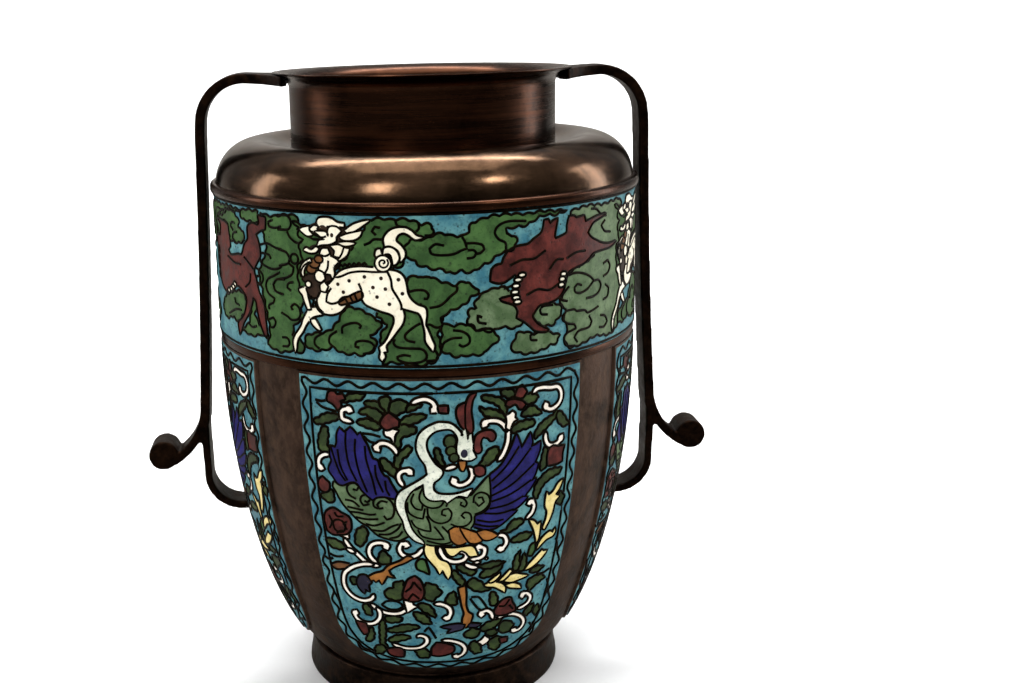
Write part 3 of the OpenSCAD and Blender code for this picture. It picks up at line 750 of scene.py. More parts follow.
def noise(tree: bpy.types.NodeTree, place: Socket, size: float, detail: float, roughness: float = 0.5,
          distortion: float = 0.0) -> Socket:
    """Adds a cloudy pattern.

    Args:
        tree: The node tree.
        place: The coordinates that it is drawn in.
        size: Size of its patches in millimetres.
        detail: How many finer layers it has.
        roughness: How strong those layers are.
        distortion: How far it is stirred.

    Returns:
        The pattern, 0 to 1.
    """
    settings = {"Vector": place, "Scale": 1 / (size * MM), "Detail": detail, "Roughness": roughness,
                "Distortion": distortion}
    return add(tree, "ShaderNodeTexNoise", {}, settings).outputs["Fac"]


def spread(tree: bpy.types.NodeTree, value: Socket, low: float, high: float, to_low: float = 0.0,
           to_high: float = 1.0) -> Socket:
    """Maps the part of a pattern between two levels to a new range.

    Args:
        tree: The node tree.
        value: The pattern.
        low: The level that becomes to_low.
        high: The level that becomes to_high.
        to_low: The new value at the low level.
        to_high: The new value at the high level.

    Returns:
        The mapped pattern.
    """
    settings = {"Value": value, "From Min": low, "From Max": high, "To Min": to_low, "To Max": to_high}
    return add(tree, "ShaderNodeMapRange", {}, settings).outputs["Result"]


def blend(tree: bpy.types.NodeTree, share: Socket, under: Any, over: Any) -> Socket:
    """Lays one colour over another.

    Args:
        tree: The node tree.
        share: How much of the upper colour shows.
        under: The lower colour.
        over: The upper colour.

    Returns:
        The blended colour.
    """
    return add(tree, "ShaderNodeMix", {"data_type": "RGBA"}, {0: share, 6: under, 7: over}).outputs[2]


def emboss(tree: bpy.types.NodeTree, shader: bpy.types.Node, operation: str, parts: tuple[Socket, Socket],
           strength: float, depth: float) -> None:
    """Gives a shader the relief of two patterns put together.

    Args:
        tree: The node tree.
        shader: The shader.
        operation: How the patterns are put together.
        parts: The patterns.
        strength: How strongly the relief shows, 0 to 1.
        depth: Its depth in metres.
    """
    level = add(tree, "ShaderNodeMath", {"operation": operation}, dict(enumerate(parts)))
    bump = add(tree, "ShaderNodeBump", {}, {"Height": level.outputs["Value"], "Strength": strength,
                                            "Distance": depth})
    tree.links.new(bump.outputs["Normal"], shader.inputs["Normal"])


def deselect() -> None:
    """Leaves edit mode and clears the selection."""
    if bpy.context.object and bpy.context.object.mode != "OBJECT":
        bpy.ops.object.mode_set(mode="OBJECT")
    bpy.ops.object.select_all(action="DESELECT")


def activate(piece: bpy.types.Object) -> None:
    """Makes one object the only selected and active one.

    Args:
        piece: The object.
    """
    deselect()
    piece.select_set(True)
    bpy.context.view_layer.objects.active = piece


def enlist(piece: bpy.types.Object, slot: str, material: bpy.types.Material,
           *nodes: str) -> bpy.types.Object:
    """Dresses a finished piece and fixes it to the body.

    Args:
        piece: The finished piece, in place.
        slot: The record's material slot; not used.
        material: Its finish.
        nodes: The CAD nodes that it stands for.

    Returns:
        The same piece.
    """
    piece.data.materials.clear()
    piece.data.materials.append(material)
    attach(piece, BODY)
    if nodes:
        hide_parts(*nodes)
    log.info("piece %s: %d faces", piece.name, len(piece.data.polygons))
    return piece


def bezier(p: Sequence[Point], t: float) -> Point:
    """Finds a point on a cubic curve.

    Args:
        p: The four control points.
        t: How far along the curve, 0 to 1.

    Returns:
        The point.
    """
    a, b, c, d = (1 - t) ** 3, 3 * (1 - t) ** 2 * t, 3 * (1 - t) * t ** 2, t ** 3
    return tuple(a * p[0][i] + b * p[1][i] + c * p[2][i] + d * p[3][i] for i in (0, 1))


def curve_points(p: Sequence[Point], steps: int) -> list[Point]:
    """Divides a cubic curve.

    Args:
        p: The four control points.
        steps: How many parts it is cut into.

    Returns:
        The points from its start to its end.
    """
    return [bezier(p, i / steps) for i in range(steps + 1)]


def arc(centre: Point, radii: Point, start: float, end: float, steps: int) -> list[Point]:
    """Divides part of an ellipse.

    Args:
        centre: Its centre.
        radii: Its half width and half height.
        start: The first angle in degrees.
        end: The last angle in degrees.
        steps: How many parts it is cut into.

    Returns:
        The points from the first angle to the last.
    """
    turns = [math.radians(start + (end - start) * i / steps) for i in range(steps + 1)]
    return [(centre[0] + radii[0] * math.cos(a), centre[1] + radii[1] * math.sin(a)) for a in turns]


def run_along(line: np.ndarray) -> np.ndarray:
    """Measures how far along a line each of its points lies.

    Args:
        line: The points.

    Returns:
        The distance of each point from the first, along the line.
    """
    return np.concatenate([[0], np.cumsum(np.hypot(*np.diff(line, axis=0).T))])


# ---------------------------------------------------------------------------------------------------------
# Finishes
# ---------------------------------------------------------------------------------------------------------

GRAIN_SIZE = 1.8         # size of the enamel's drawn grains, in millimetres
PIT_SPACING = 2.6        # distance between its open bubbles
PIT_GROUP = 7.0          # size of the places where they gather
PIT_DIRT = "1d1c14"      # colour of the dirt in them
MARK_SIZE = 5.0          # size of the bronze's rubbing marks
SKIN_SIZE = 2.2          # size of the bumps of its cast skin


@dataclass(frozen=True)
class EnamelFinish:
    """Opaque glass enamel, fired in cells and rubbed flat: a satin, slightly cloudy and pitted colour.

    Args:
        name: The finish's name.
        base: The main colour.
        light: The colour where the glass is thin or chalky.
        dark: The colour of the coarse grains and of the dirt in the pits.
        cloud: Size of the cloudy patches in millimetres.
        speckle: How strongly the grains show, 0 to 1.
        pitting: How strongly the open bubbles show, 0 to 1.
        roughness: The mean roughness of the rubbed glass.
    """

    name: str
    base: str
    light: str
    dark: str
    cloud: float
    speckle: float
    pitting: float
    roughness: float = 0.42

    def material(self) -> bpy.types.Material:
        """Builds the node material.

        Returns:
            The enamel.
        """
        made, tree, shader = start_material(self.name)
        place = add(tree, "ShaderNodeTexCoord", {}, {}).outputs["Object"]
        # Cloudy patches where one firing's glass lies thicker than the next.
        cloud = noise(tree, place, self.cloud, 4.0, 0.6, 0.4)
        patch = spread(tree, cloud, 0.38, 0.66)
        # Grains of ground glass are about 0.3 mm; drawn at 0.9 mm, so that they show at this size.
        dots = spread(tree, noise(tree, place, GRAIN_SIZE, 3.0, 0.7), 0.52, 0.72, 0.0, self.speckle)
        # Burst bubbles leave open pits that hold dark dirt.
        cells = add(tree, "ShaderNodeTexVoronoi", {}, {"Vector": place, "Scale": 1 / (PIT_SPACING * MM)})
        few = spread(tree, noise(tree, place, PIT_GROUP, 2.0), 0.45, 0.62)
        hole = spread(tree, cells.outputs["Distance"], 0.10, 0.24, self.pitting, 0.0)
        pit = add(tree, "ShaderNodeMath", {"operation": "MULTIPLY"}, {0: hole, 1: few}).outputs["Value"]
        body = blend(tree, patch, linear(self.base), linear(self.light))
        grained = blend(tree, dots, body, linear(self.dark))
        worn = blend(tree, pit, grained, linear(PIT_DIRT))
        tree.links.new(worn, shader.inputs["Base Color"])
        rub = spread(tree, cloud, 0.3, 0.7, self.roughness - 0.08, self.roughness + 0.12)
        tree.links.new(rub, shader.inputs["Roughness"])
        emboss(tree, shader, "SUBTRACT", (cloud, pit), 0.35, 0.6 * MM)
        # The rubbed face is finely scratched and mirrors little.
        shader.inputs["Specular IOR Level"].default_value = 0.2
        return made


@dataclass(frozen=True)
class BronzeFinish:
    """Cast bronze under a patina: a dark metal whose rubbed places show brighter.

    Args:
        name: The finish's name.
        base: The patina's main colour.
        rubbed: The colour where handling has rubbed it.
        deep: The colour in hollows and stains.
        stain: Size of the stains in millimetres.
        streak: Stretch of the rubbing marks along x, y and z; a small number draws them out.
        roughness: The smallest and largest roughness.
        relief: Depth of the cast skin's unevenness in millimetres.
        rub: How much of the surface is rubbed, 0 to 1.
    """

    name: str
    base: str
    rubbed: str
    deep: str
    stain: float
    streak: Place
    roughness: Point
    relief: float
    rub: float

    def material(self) -> bpy.types.Material:
        """Builds the node material.

        Returns:
            The patinated bronze.
        """
        made, tree, shader = start_material(self.name)
        place = add(tree, "ShaderNodeTexCoord", {}, {}).outputs["Object"]
        drawn = add(tree, "ShaderNodeMapping", {}, {"Vector": place, "Scale": self.streak}).outputs["Vector"]
        stain = noise(tree, place, self.stain, 5.0, 0.62, 0.8)
        marks = noise(tree, drawn, MARK_SIZE, 6.0, 0.7)
        skin = noise(tree, place, SKIN_SIZE, 3.0)
        body = blend(tree, spread(tree, stain, 0.42, 0.66), linear(self.base), linear(self.deep))
        worn = spread(tree, marks, 0.46, 0.7, 0.0, self.rub)
        tree.links.new(blend(tree, worn, body, linear(self.rubbed)), shader.inputs["Base Color"])
        shader.inputs["Metallic"].default_value = 1.0
        tree.links.new(spread(tree, marks, 0.3, 0.7, *self.roughness), shader.inputs["Roughness"])
        emboss(tree, shader, "ADD", (skin, marks), 0.4, self.relief * MM)
        return made


GLAZES = {
    Enamel.TURQUOISE: EnamelFinish("turquoise_ground_enamel", "326a7a", "5f9596", "1a3844", 9, 0.75, 0.95),
    Enamel.GREEN: EnamelFinish("grass_green_enamel", "2c4a24", "456a35", "16240f", 12, 0.6, 0.8),
    Enamel.WHITE: EnamelFinish("ivory_white_enamel", "efe4d4", "fbf5ea", "b09c80", 9, 0.25, 0.4),
    Enamel.CREAM: EnamelFinish("cream_white_enamel", "efe6cd", "faf5e0", "b8a67e", 16, 0.3, 0.8),
    Enamel.SPECKLE: EnamelFinish("speckled_grey_white_enamel", "c4cab8", "e4e6d6", "46605c", 6, 0.8, 0.5),
    Enamel.RED: EnamelFinish("oxblood_red_enamel", "3e1512", "64261f", "1a0908", 7, 0.6, 0.5),
    Enamel.COBALT: EnamelFinish("cobalt_blue_enamel", "120f50", "1e1b72", "080722", 8, 0.6, 0.5),
    Enamel.DARK: EnamelFinish("blackish_blue_enamel", "1c1a2c", "2c2840", "0c0b14", 7, 0.4, 0.3),
    Enamel.YELLOW: EnamelFinish("pale_yellow_enamel", "d8c47a", "ead99a", "9a7c38", 8, 0.4, 0.4),
    Enamel.OCHRE: EnamelFinish("ochre_enamel", "84521f", "aa6d2a", "472a0d", 7, 0.5, 0.4),
    Enamel.BROWN: EnamelFinish("chestnut_brown_enamel", "5c3a1c", "7a4f28", "2c190a", 7, 0.4, 0.4),
    Enamel.OLIVE: EnamelFinish("olive_leaf_enamel", "26351a", "3d4f24", "12180b", 7, 0.6, 0.4),
    Enamel.UMBER: EnamelFinish("blackish_brown_enamel", "1e130c", "3a2718", "0c0805", 6, 0.5, 0.4),
    Enamel.SAGE: EnamelFinish("sage_green_enamel", "455c3a", "667b58", "24331f", 9, 0.6, 0.5),
}
BRONZES = {
    "dark_bronze": BronzeFinish("dark_patinated_cast_bronze", "2c211b", "6a4c36", "15100d",
                                 18, (1, 1, 1), (0.26, 0.5), 0.25, 0.3),
    "brown_bronze": BronzeFinish("brown_rubbed_cast_bronze", "554238", "866c5a", "30241d",
                                  22, (1, 1, 0.5), (0.34, 0.58), 0.3, 0.45),
    "red_bronze": BronzeFinish("red_brown_brushed_bronze", "3e271b", "7c4a30", "20130c",
                                30, (0.05, 0.05, 1.1), (0.2, 0.36), 0.07, 0.3),
    "polished_bronze": BronzeFinish("dark_polished_bronze", "574130", "80604a", "34261a",
                                     30, (0.3, 0.3, 1.2), (0.12, 0.25), 0.06, 0.25),
    "black_bronze": BronzeFinish("black_patinated_cast_bronze", "1d130d", "4c3222", "0e0907",
                                  18, (1, 1, 1), (0.38, 0.6), 0.25, 0.3),
    "wire_bronze": BronzeFinish("tarnished_bronze_wire", "14100b", "3c2e1a", "090705",
                                 9, (1, 1, 1), (0.4, 0.6), 0.04, 0.3),
}


class Workshop:
    """Mixes each finish once and hands it out."""

    def __init__(self) -> None:
        """Starts with every finish mixed."""
        self.glazes = {enamel: finish.material() for enamel, finish in GLAZES.items()}
        self.bronzes = {name: finish.material() for name, finish in BRONZES.items()}

    def dress_node(self, name: str, material: bpy.types.Material) -> None:
        """Gives a carried-over CAD node its finish.

        Args:
            name: The node.
            material: Its finish.
        """
        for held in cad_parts[name].material_slots:
            held.material = material
        log.info("node %s: %s", name, material.name)


# ---------------------------------------------------------------------------------------------------------
# Turned rings
# ---------------------------------------------------------------------------------------------------------

@dataclass(frozen=True)
class TurnedRing:
    """One ring of the vase, turned from its cross-section.

    Args:
        name: The piece's name.
        node: The CAD node that it stands for.
        slot: The record's material slot and the finish of the same name.
        section: Radius and height of each corner of the closed cross-section, in millimetres.
        facets: Segments round the ring.
    """

    name: str
    node: str
    slot: str
    section: tuple[Point, ...]
    facets: int = 256

    def build(self, workshop: Workshop) -> bpy.types.Object:
        """Models the ring: a circle, drawn out and resized from corner to corner of the section.

        Args:
            workshop: Where its finish comes from.

        Returns:
            The finished ring.
        """
        deselect()
        radius, height = self.section[0]
        bpy.ops.mesh.primitive_circle_add(vertices=self.facets, radius=radius * MM, fill_type="NOTHING",
                                          location=(0, 0, height * MM))
        piece = bpy.context.object
        bpy.ops.object.transform_apply(location=True, rotation=True, scale=True)
        bpy.ops.object.mode_set(mode="EDIT")
        bpy.ops.mesh.select_all(action="SELECT")
        for r, z in (*self.section[1:], self.section[0]):
            bpy.ops.mesh.extrude_region_move(TRANSFORM_OT_translate={"value": (0, 0, (z - height) * MM)})
            if abs(r - radius) > 1e-9:
                bpy.ops.transform.resize(value=(r / radius, r / radius, 1), center_override=(0, 0, z * MM))
            radius, height = r, z
        bpy.ops.mesh.select_all(action="SELECT")
        bpy.ops.mesh.remove_doubles(threshold=1e-6)
        bpy.ops.mesh.normals_make_consistent(inside=False)
        bpy.ops.object.mode_set(mode="OBJECT")
        bpy.ops.object.shade_smooth_by_angle(angle=math.radians(32))
        piece.name = piece.data.name = self.name
        return enlist(piece, self.slot, workshop.bronzes[self.slot], self.node)


def neck_section() -> tuple[Point, ...]:
    """Draws the neck's cross-section, from its foot up the outside, over the lip and down the bore.

    Returns:
        Radius and height of each corner, in millimetres.
    """
    flare = arc((74, 304.4), (8, 6.8), 180, 97, 10)
    lip = [(73.4, 311.6), (74, 311.9), (73.9, 312.3), (73.2, 312.3)]
    inner = curve_points(((73, 312.3), (65, 310.8), (63, 306.3), (63, 298.3)), 10)
    outer = [(66, z) for z in (271.5, 280, 290, 298.3)]
    return tuple([*outer, *flare, *lip, *inner[1:], (63, 285), (63, 271.5)])


def shoulder_section() -> tuple[Point, ...]:
    """Draws the rolled shoulder's cross-section: the round crest, the valley by the neck and the inner wall.

    Returns:
        Radius and height of each corner, in millimetres.
    """
    roll = arc((84, 258), (20.3, 22), 6, 90, 18)
    valley = [(84 - 18 * i / 8, 274.5 + 5.5 * (0.5 + 0.5 * math.cos(math.pi * i / 8))) for i in range(1, 9)]
    inner = [(66, 271.5), (75, 272.2), (84, 276.6), *arc((84, 258), (17.3, 18.6), 84, 10, 10), (101.3, 260)]
    return tuple([(104.2, 260), *roll, *valley, *inner])


RINGS = (
    TurnedRing("foot", "foot_ring", "dark_bronze",
               ((59, 0), (65.9, 0), (66.4, 0.3), (66.6, 0.9), (66.4, 3), (65.8, 6), (65.35, 9), (65.2, 12),
                (65.25, 14.5), (65.0, 15.6), (64.4, 16.2), (63.5, 16.5), (59, 16.5))),
    TurnedRing("waist_moulding", "waist_band", "red_bronze",
               ((102.2, 182.5), (104.9, 182.5), (105.3, 182.9), (105.4, 183.6), (105.4, 185.6),
                (105.3, 186.3), (104.9, 186.7), (104.2, 186.7), (102.2, 186.7))),
    TurnedRing("ridge_moulding", "ridge_band", "red_bronze",
               ((104.4, 255.7), (106.2, 255.7), (106.7, 256.0), (106.95, 256.6), (107.0, 257.6),
                (106.95, 258.6), (106.6, 259.4), (105.9, 259.9), (105.2, 260.0), (104.4, 260.0))),
    TurnedRing("neck_collar", "neck", "red_bronze", neck_section()),
    TurnedRing("rolled_shoulder", "shoulder", "polished_bronze", shoulder_section()),
)


# ---------------------------------------------------------------------------------------------------------
# Enamelled surfaces
# ---------------------------------------------------------------------------------------------------------

class Surface:
    """One enamelled skin, unrolled: along the ring and up the skin, in millimetres."""

    def profile(self, up: np.ndarray) -> tuple[np.ndarray, ...]:
        """Finds where the skin runs.

        Args:
            up: Distances up the skin.

        Returns:
            Radius, height and the outward normal's two parts at each distance.
        """
        raise NotImplementedError

    def place(self, flat: np.ndarray, lift: np.ndarray, side: int) -> np.ndarray:
        """Lays flat points on the skin.

        Args:
            flat: Points as along and up, in millimetres.
            lift: Height of each point above the skin, in millimetres.
            side: 0 front, 1 right, 2 back, 3 left.

        Returns:
            Points in metres in the vase's frame.
        """
        r, z, nr, nz = self.profile(flat[:, 1])
        turn = flat[:, 0] / r + side * math.pi / 2
        out = r + nr * lift
        return np.column_stack([out * np.sin(turn), -out * np.cos(turn), z + nz * lift]) * MM


@dataclass(frozen=True)
class BowlSurface(Surface):
    """The bowl's enamelled skin.

    Args:
        curve: The four control points of the outside, as radius and height.
        foot: Height where the picture's own zero lies.
        steps: How many parts the curve is measured in.
    """

    curve: tuple[Point, ...] = ((65, 18), (86.6, 37.3), (105.2, 106.6), (105.2, 182.4))
    foot: float = 24.8
    steps: int = 800

    def table(self) -> np.ndarray:
        """Measures the curve.

        Returns:
            Rows of arc length above the picture's zero, radius, height and the outward normal's two parts.
        """
        pts = np.array(curve_points(self.curve, self.steps))
        step = np.gradient(pts, axis=0)
        run = run_along(pts)
        run -= np.interp(self.foot, pts[:, 1], run)
        size = np.hypot(step[:, 0], step[:, 1])
        return np.column_stack([run, pts, step[:, 1] / size, -step[:, 0] / size])

    def profile(self, up: np.ndarray) -> tuple[np.ndarray, ...]:
        """Finds where the skin runs.

        Args:
            up: Distances up the skin.

        Returns:
            Radius, height and the outward normal's two parts at each distance.
        """
        t = self.table()
        return tuple(np.interp(up, t[:, 0], t[:, i]) for i in (1, 2, 3, 4))


@dataclass(frozen=True)
class FriezeSurface(Surface):
    """The frieze's enamelled skin, an upright ring.

    Args:
        radius: Radius of the skin.
        foot: Height of its lower edge.
    """

    radius: float = 105.5
    foot: float = 186.7

    def profile(self, up: np.ndarray) -> tuple[np.ndarray, ...]:
        """Finds where the skin runs.

        Args:
            up: Distances up the skin.

        Returns:
            Radius, height and the outward normal's two parts at each distance.
        """
        return np.full(len(up), self.radius), self.foot + up, np.ones(len(up)), np.zeros(len(up))


TIP_ANGLE = 68.0         # a drawn line keeps a turn sharper than this as a tip, in degrees
PULL_LIMIT = 1.6         # greatest pull of a bend, in lengths of the part that it bends
FILL_GRID = 2.6          # spacing of the points inside a fill, in millimetres
FILL_MARGIN = 0.8        # how near they come to its edge
CELL_GROWTH = 0.42       # how far a cell's wire stands out from its fill
LEAF_GROWTH = 0.4        # the same for a leaf
SPOT_GROWTH = 0.35       # the same for a spot
SCROLL_WIDTH = 2.6       # width of an enamelled stroke
BALL_RADIUS = 2.0        # radius of its round end
WIRE_FOOT = 0.05         # how far a wire's foot runs out and sinks in
QUARTER = 165.7          # a quarter of the frieze's length
SPOT_PARTS = 14          # points round a spot


def smooth(points: np.ndarray, closed: bool, step: float) -> np.ndarray:
    """Draws a soft line through points, as a bent wire runs, and keeps sharp tips sharp.

    Args:
        points: The points to pass through.
        closed: Whether the line returns to its start.
        step: Greatest spacing of the result.

    Returns:
        The finer line; a closed one doesn't repeat its first point.
    """
    count = len(points)
    closed = closed and count > 2
    before, after = np.roll(points, 1, axis=0), np.roll(points, -1, axis=0)
    if not closed:
        before[0], after[-1] = 2 * points[0] - points[1], 2 * points[-1] - points[-2]
    run_in, run_out = points - before, after - points
    turn = np.degrees(np.abs(np.arctan2(run_in[:, 0] * run_out[:, 1] - run_in[:, 1] * run_out[:, 0],
                                        np.sum(run_in * run_out, axis=1))))
    pull = (after - before) / 2
    made = []
    for i in range(count if closed else count - 1):
        j = (i + 1) % count
        chord = points[j] - points[i]
        m0, m1 = (chord if turn[k] > TIP_ANGLE else pull[k] for k in (i, j))
        size = np.hypot(*chord)
        m0, m1 = (m * min(1.0, PULL_LIMIT * size / max(np.hypot(*m), 1e-6)) for m in (m0, m1))
        parts = max(2, int(math.ceil(size / step)))
        for t in np.arange(parts) / parts:
            made.append((2 * t ** 3 - 3 * t * t + 1) * points[i] + (t ** 3 - 2 * t * t + t) * m0
                        + (3 * t * t - 2 * t ** 3) * points[j] + (t ** 3 - t * t) * m1)
    if not closed:
        made.append(points[-1])
    return np.array(made)


def inside(points: np.ndarray, outline: np.ndarray) -> np.ndarray:
    """Tells which points lie inside a closed outline.

    Args:
        points: The points.
        outline: The outline.

    Returns:
        True or false for each point.
    """
    x, y = points[:, 0:1], points[:, 1:2]
    x0, y0 = outline[:, 0], outline[:, 1]
    x1, y1 = np.roll(x0, -1), np.roll(y0, -1)
    crosses = (y0 > y) != (y1 > y)
    with np.errstate(divide="ignore", invalid="ignore"):
        at = (x1 - x0) * (y - y0) / (y1 - y0) + x0
    return (np.sum(crosses & (x < at), axis=1) % 2) == 1


def normals_2d(line: np.ndarray, closed: bool) -> np.ndarray:
    """Finds the unit vectors square to a flat line.

    Args:
        line: Its points.
        closed: Whether it returns to its start.

    Returns:
        The vector at each point.
    """
    if closed:
        run = np.roll(line, -1, axis=0) - np.roll(line, 1, axis=0)
    else:
        run = np.gradient(line, axis=0)
    size = np.maximum(np.hypot(run[:, 0], run[:, 1]), 1e-9)
    return np.column_stack([-run[:, 1] / size, run[:, 0] / size])


def stroke_outline(line: np.ndarray, width: float, start_ball: float, end_ball: float) -> np.ndarray:
    """Draws the closed outline of a stroke with round ends.

    Args:
        line: The stroke's middle.
        width: Its width.
        start_ball: Radius of its first end.
        end_ball: Radius of its last end.

    Returns:
        The outline.
    """
    run = run_along(line)
    half = np.full(len(line), width / 2)
    for ball, away in ((start_ball, run), (end_ball, run[-1] - run)):
        if ball:
            half = np.maximum(half, ball * np.sqrt(np.clip(1 - (away / ball - 0.6) ** 2, 0, 1)))
        else:
            half = half * np.sqrt(np.clip(1 - (1 - np.clip(away / width, 0, 1)) ** 2, 0.1, 1))
    side = normals_2d(line, False)
    left, right = line + side * half[:, None], line - side * half[:, None]
    caps = []
    for end, before, reach in ((line[-1], line[-2], half[-1]), (line[0], line[1], half[0])):
        caps.append(end + (end - before) / np.hypot(*(end - before)) * reach * 0.9)
    return np.vstack([left, caps[0], right[::-1], caps[1]])


def scallop(outline: np.ndarray, length: float, depth: float) -> np.ndarray:
    """Gives a closed outline rounded bumps, as on a drawn cloud.

    Args:
        outline: The closed outline.
        length: Length of one bump.
        depth: How far a bump stands out.

    Returns:
        The bumpy outline.
    """
    run = run_along(np.vstack([outline, outline[:1]]))
    bumps = max(3, round(run[-1] / length))
    out = depth * (np.abs(np.sin(math.pi * bumps * run[:-1] / run[-1])) - 0.5)
    return grow(outline, out[:, None])


def grow(outline: np.ndarray, by: float | np.ndarray) -> np.ndarray:
    """Moves a closed outline outwards, so that its wire lies beside the fill and not on it.

    Args:
        outline: The closed outline.
        by: How far it moves.

    Returns:
        The larger outline.
    """
    x, y = outline[:, 0], outline[:, 1]
    area = np.sum(x * np.roll(y, -1) - np.roll(x, -1) * y)
    return outline - np.sign(area) * by * normals_2d(outline, True)


@dataclass
class Tile:
    """A drawn shape ready to be filled and wired.

    Args:
        outline: Its closed outline, or the bare wire's line.
        enamel: Its filling.
        closed: Whether it is a cell rather than a bare wire.
        loop: Whether a bare wire returns to its start.
        wired: Whether a wire runs along it.
        level: How many layers lie under it.
    """

    outline: np.ndarray
    enamel: Enamel
    closed: bool
    loop: bool = False
    wired: bool = True
    level: int = 0


def tiles(layers: Iterable[Layer]) -> list[Tile]:
    """Reads the layers, lowest first.

    Args:
        layers: The picture's layers.

    Returns:
        The shapes in painter's order.
    """
    made = []
    for level, layer in enumerate(layers):
        for text in layer.lines:
            made.append(shape(layer, text))
            made[-1].level = level
    return made


def shape(layer: Layer, text: str) -> Tile:
    """Draws one shape of a layer.

    Args:
        layer: The layer that it belongs to.
        text: Its points.

    Returns:
        The shape.
    """
    form, enamel = layer.form, layer.enamel
    if form in (Form.SPOT, Form.DOT):
        middle, radii = (tuple(float(n) for n in part.split(",")) for part in text.split(":"))
        oval = np.array(arc(middle, radii, 0, 360, SPOT_PARTS)[:-1])
        wired = form is Form.SPOT
        return Tile(grow(oval, SPOT_GROWTH) if wired else oval, enamel, True, wired=wired)
    words = text.split(" ")
    pts = np.array([[float(n) for n in word.rstrip("o").split(",")] for word in words])
    if form is Form.WIRE:
        return Tile(smooth(pts, False, 0.9), enamel, False)
    if form is Form.SCROLL:
        balls = [BALL_RADIUS if word.endswith("o") else 0.0 for word in (words[0], words[-1])]
        return Tile(stroke_outline(smooth(pts, False, 0.7), SCROLL_WIDTH, *balls), enamel, True)
    if form is Form.CLOUD:
        return Tile(scallop(smooth(pts, True, 1.0), 5.5, 1.0), enamel, True)
    if form is Form.LEAF:
        return Tile(grow(scallop(smooth(pts, True, 0.8), 3.4, 0.5), LEAF_GROWTH), enamel, True)
    return Tile(grow(smooth(pts, True, 1.1), CELL_GROWTH), enamel, True)


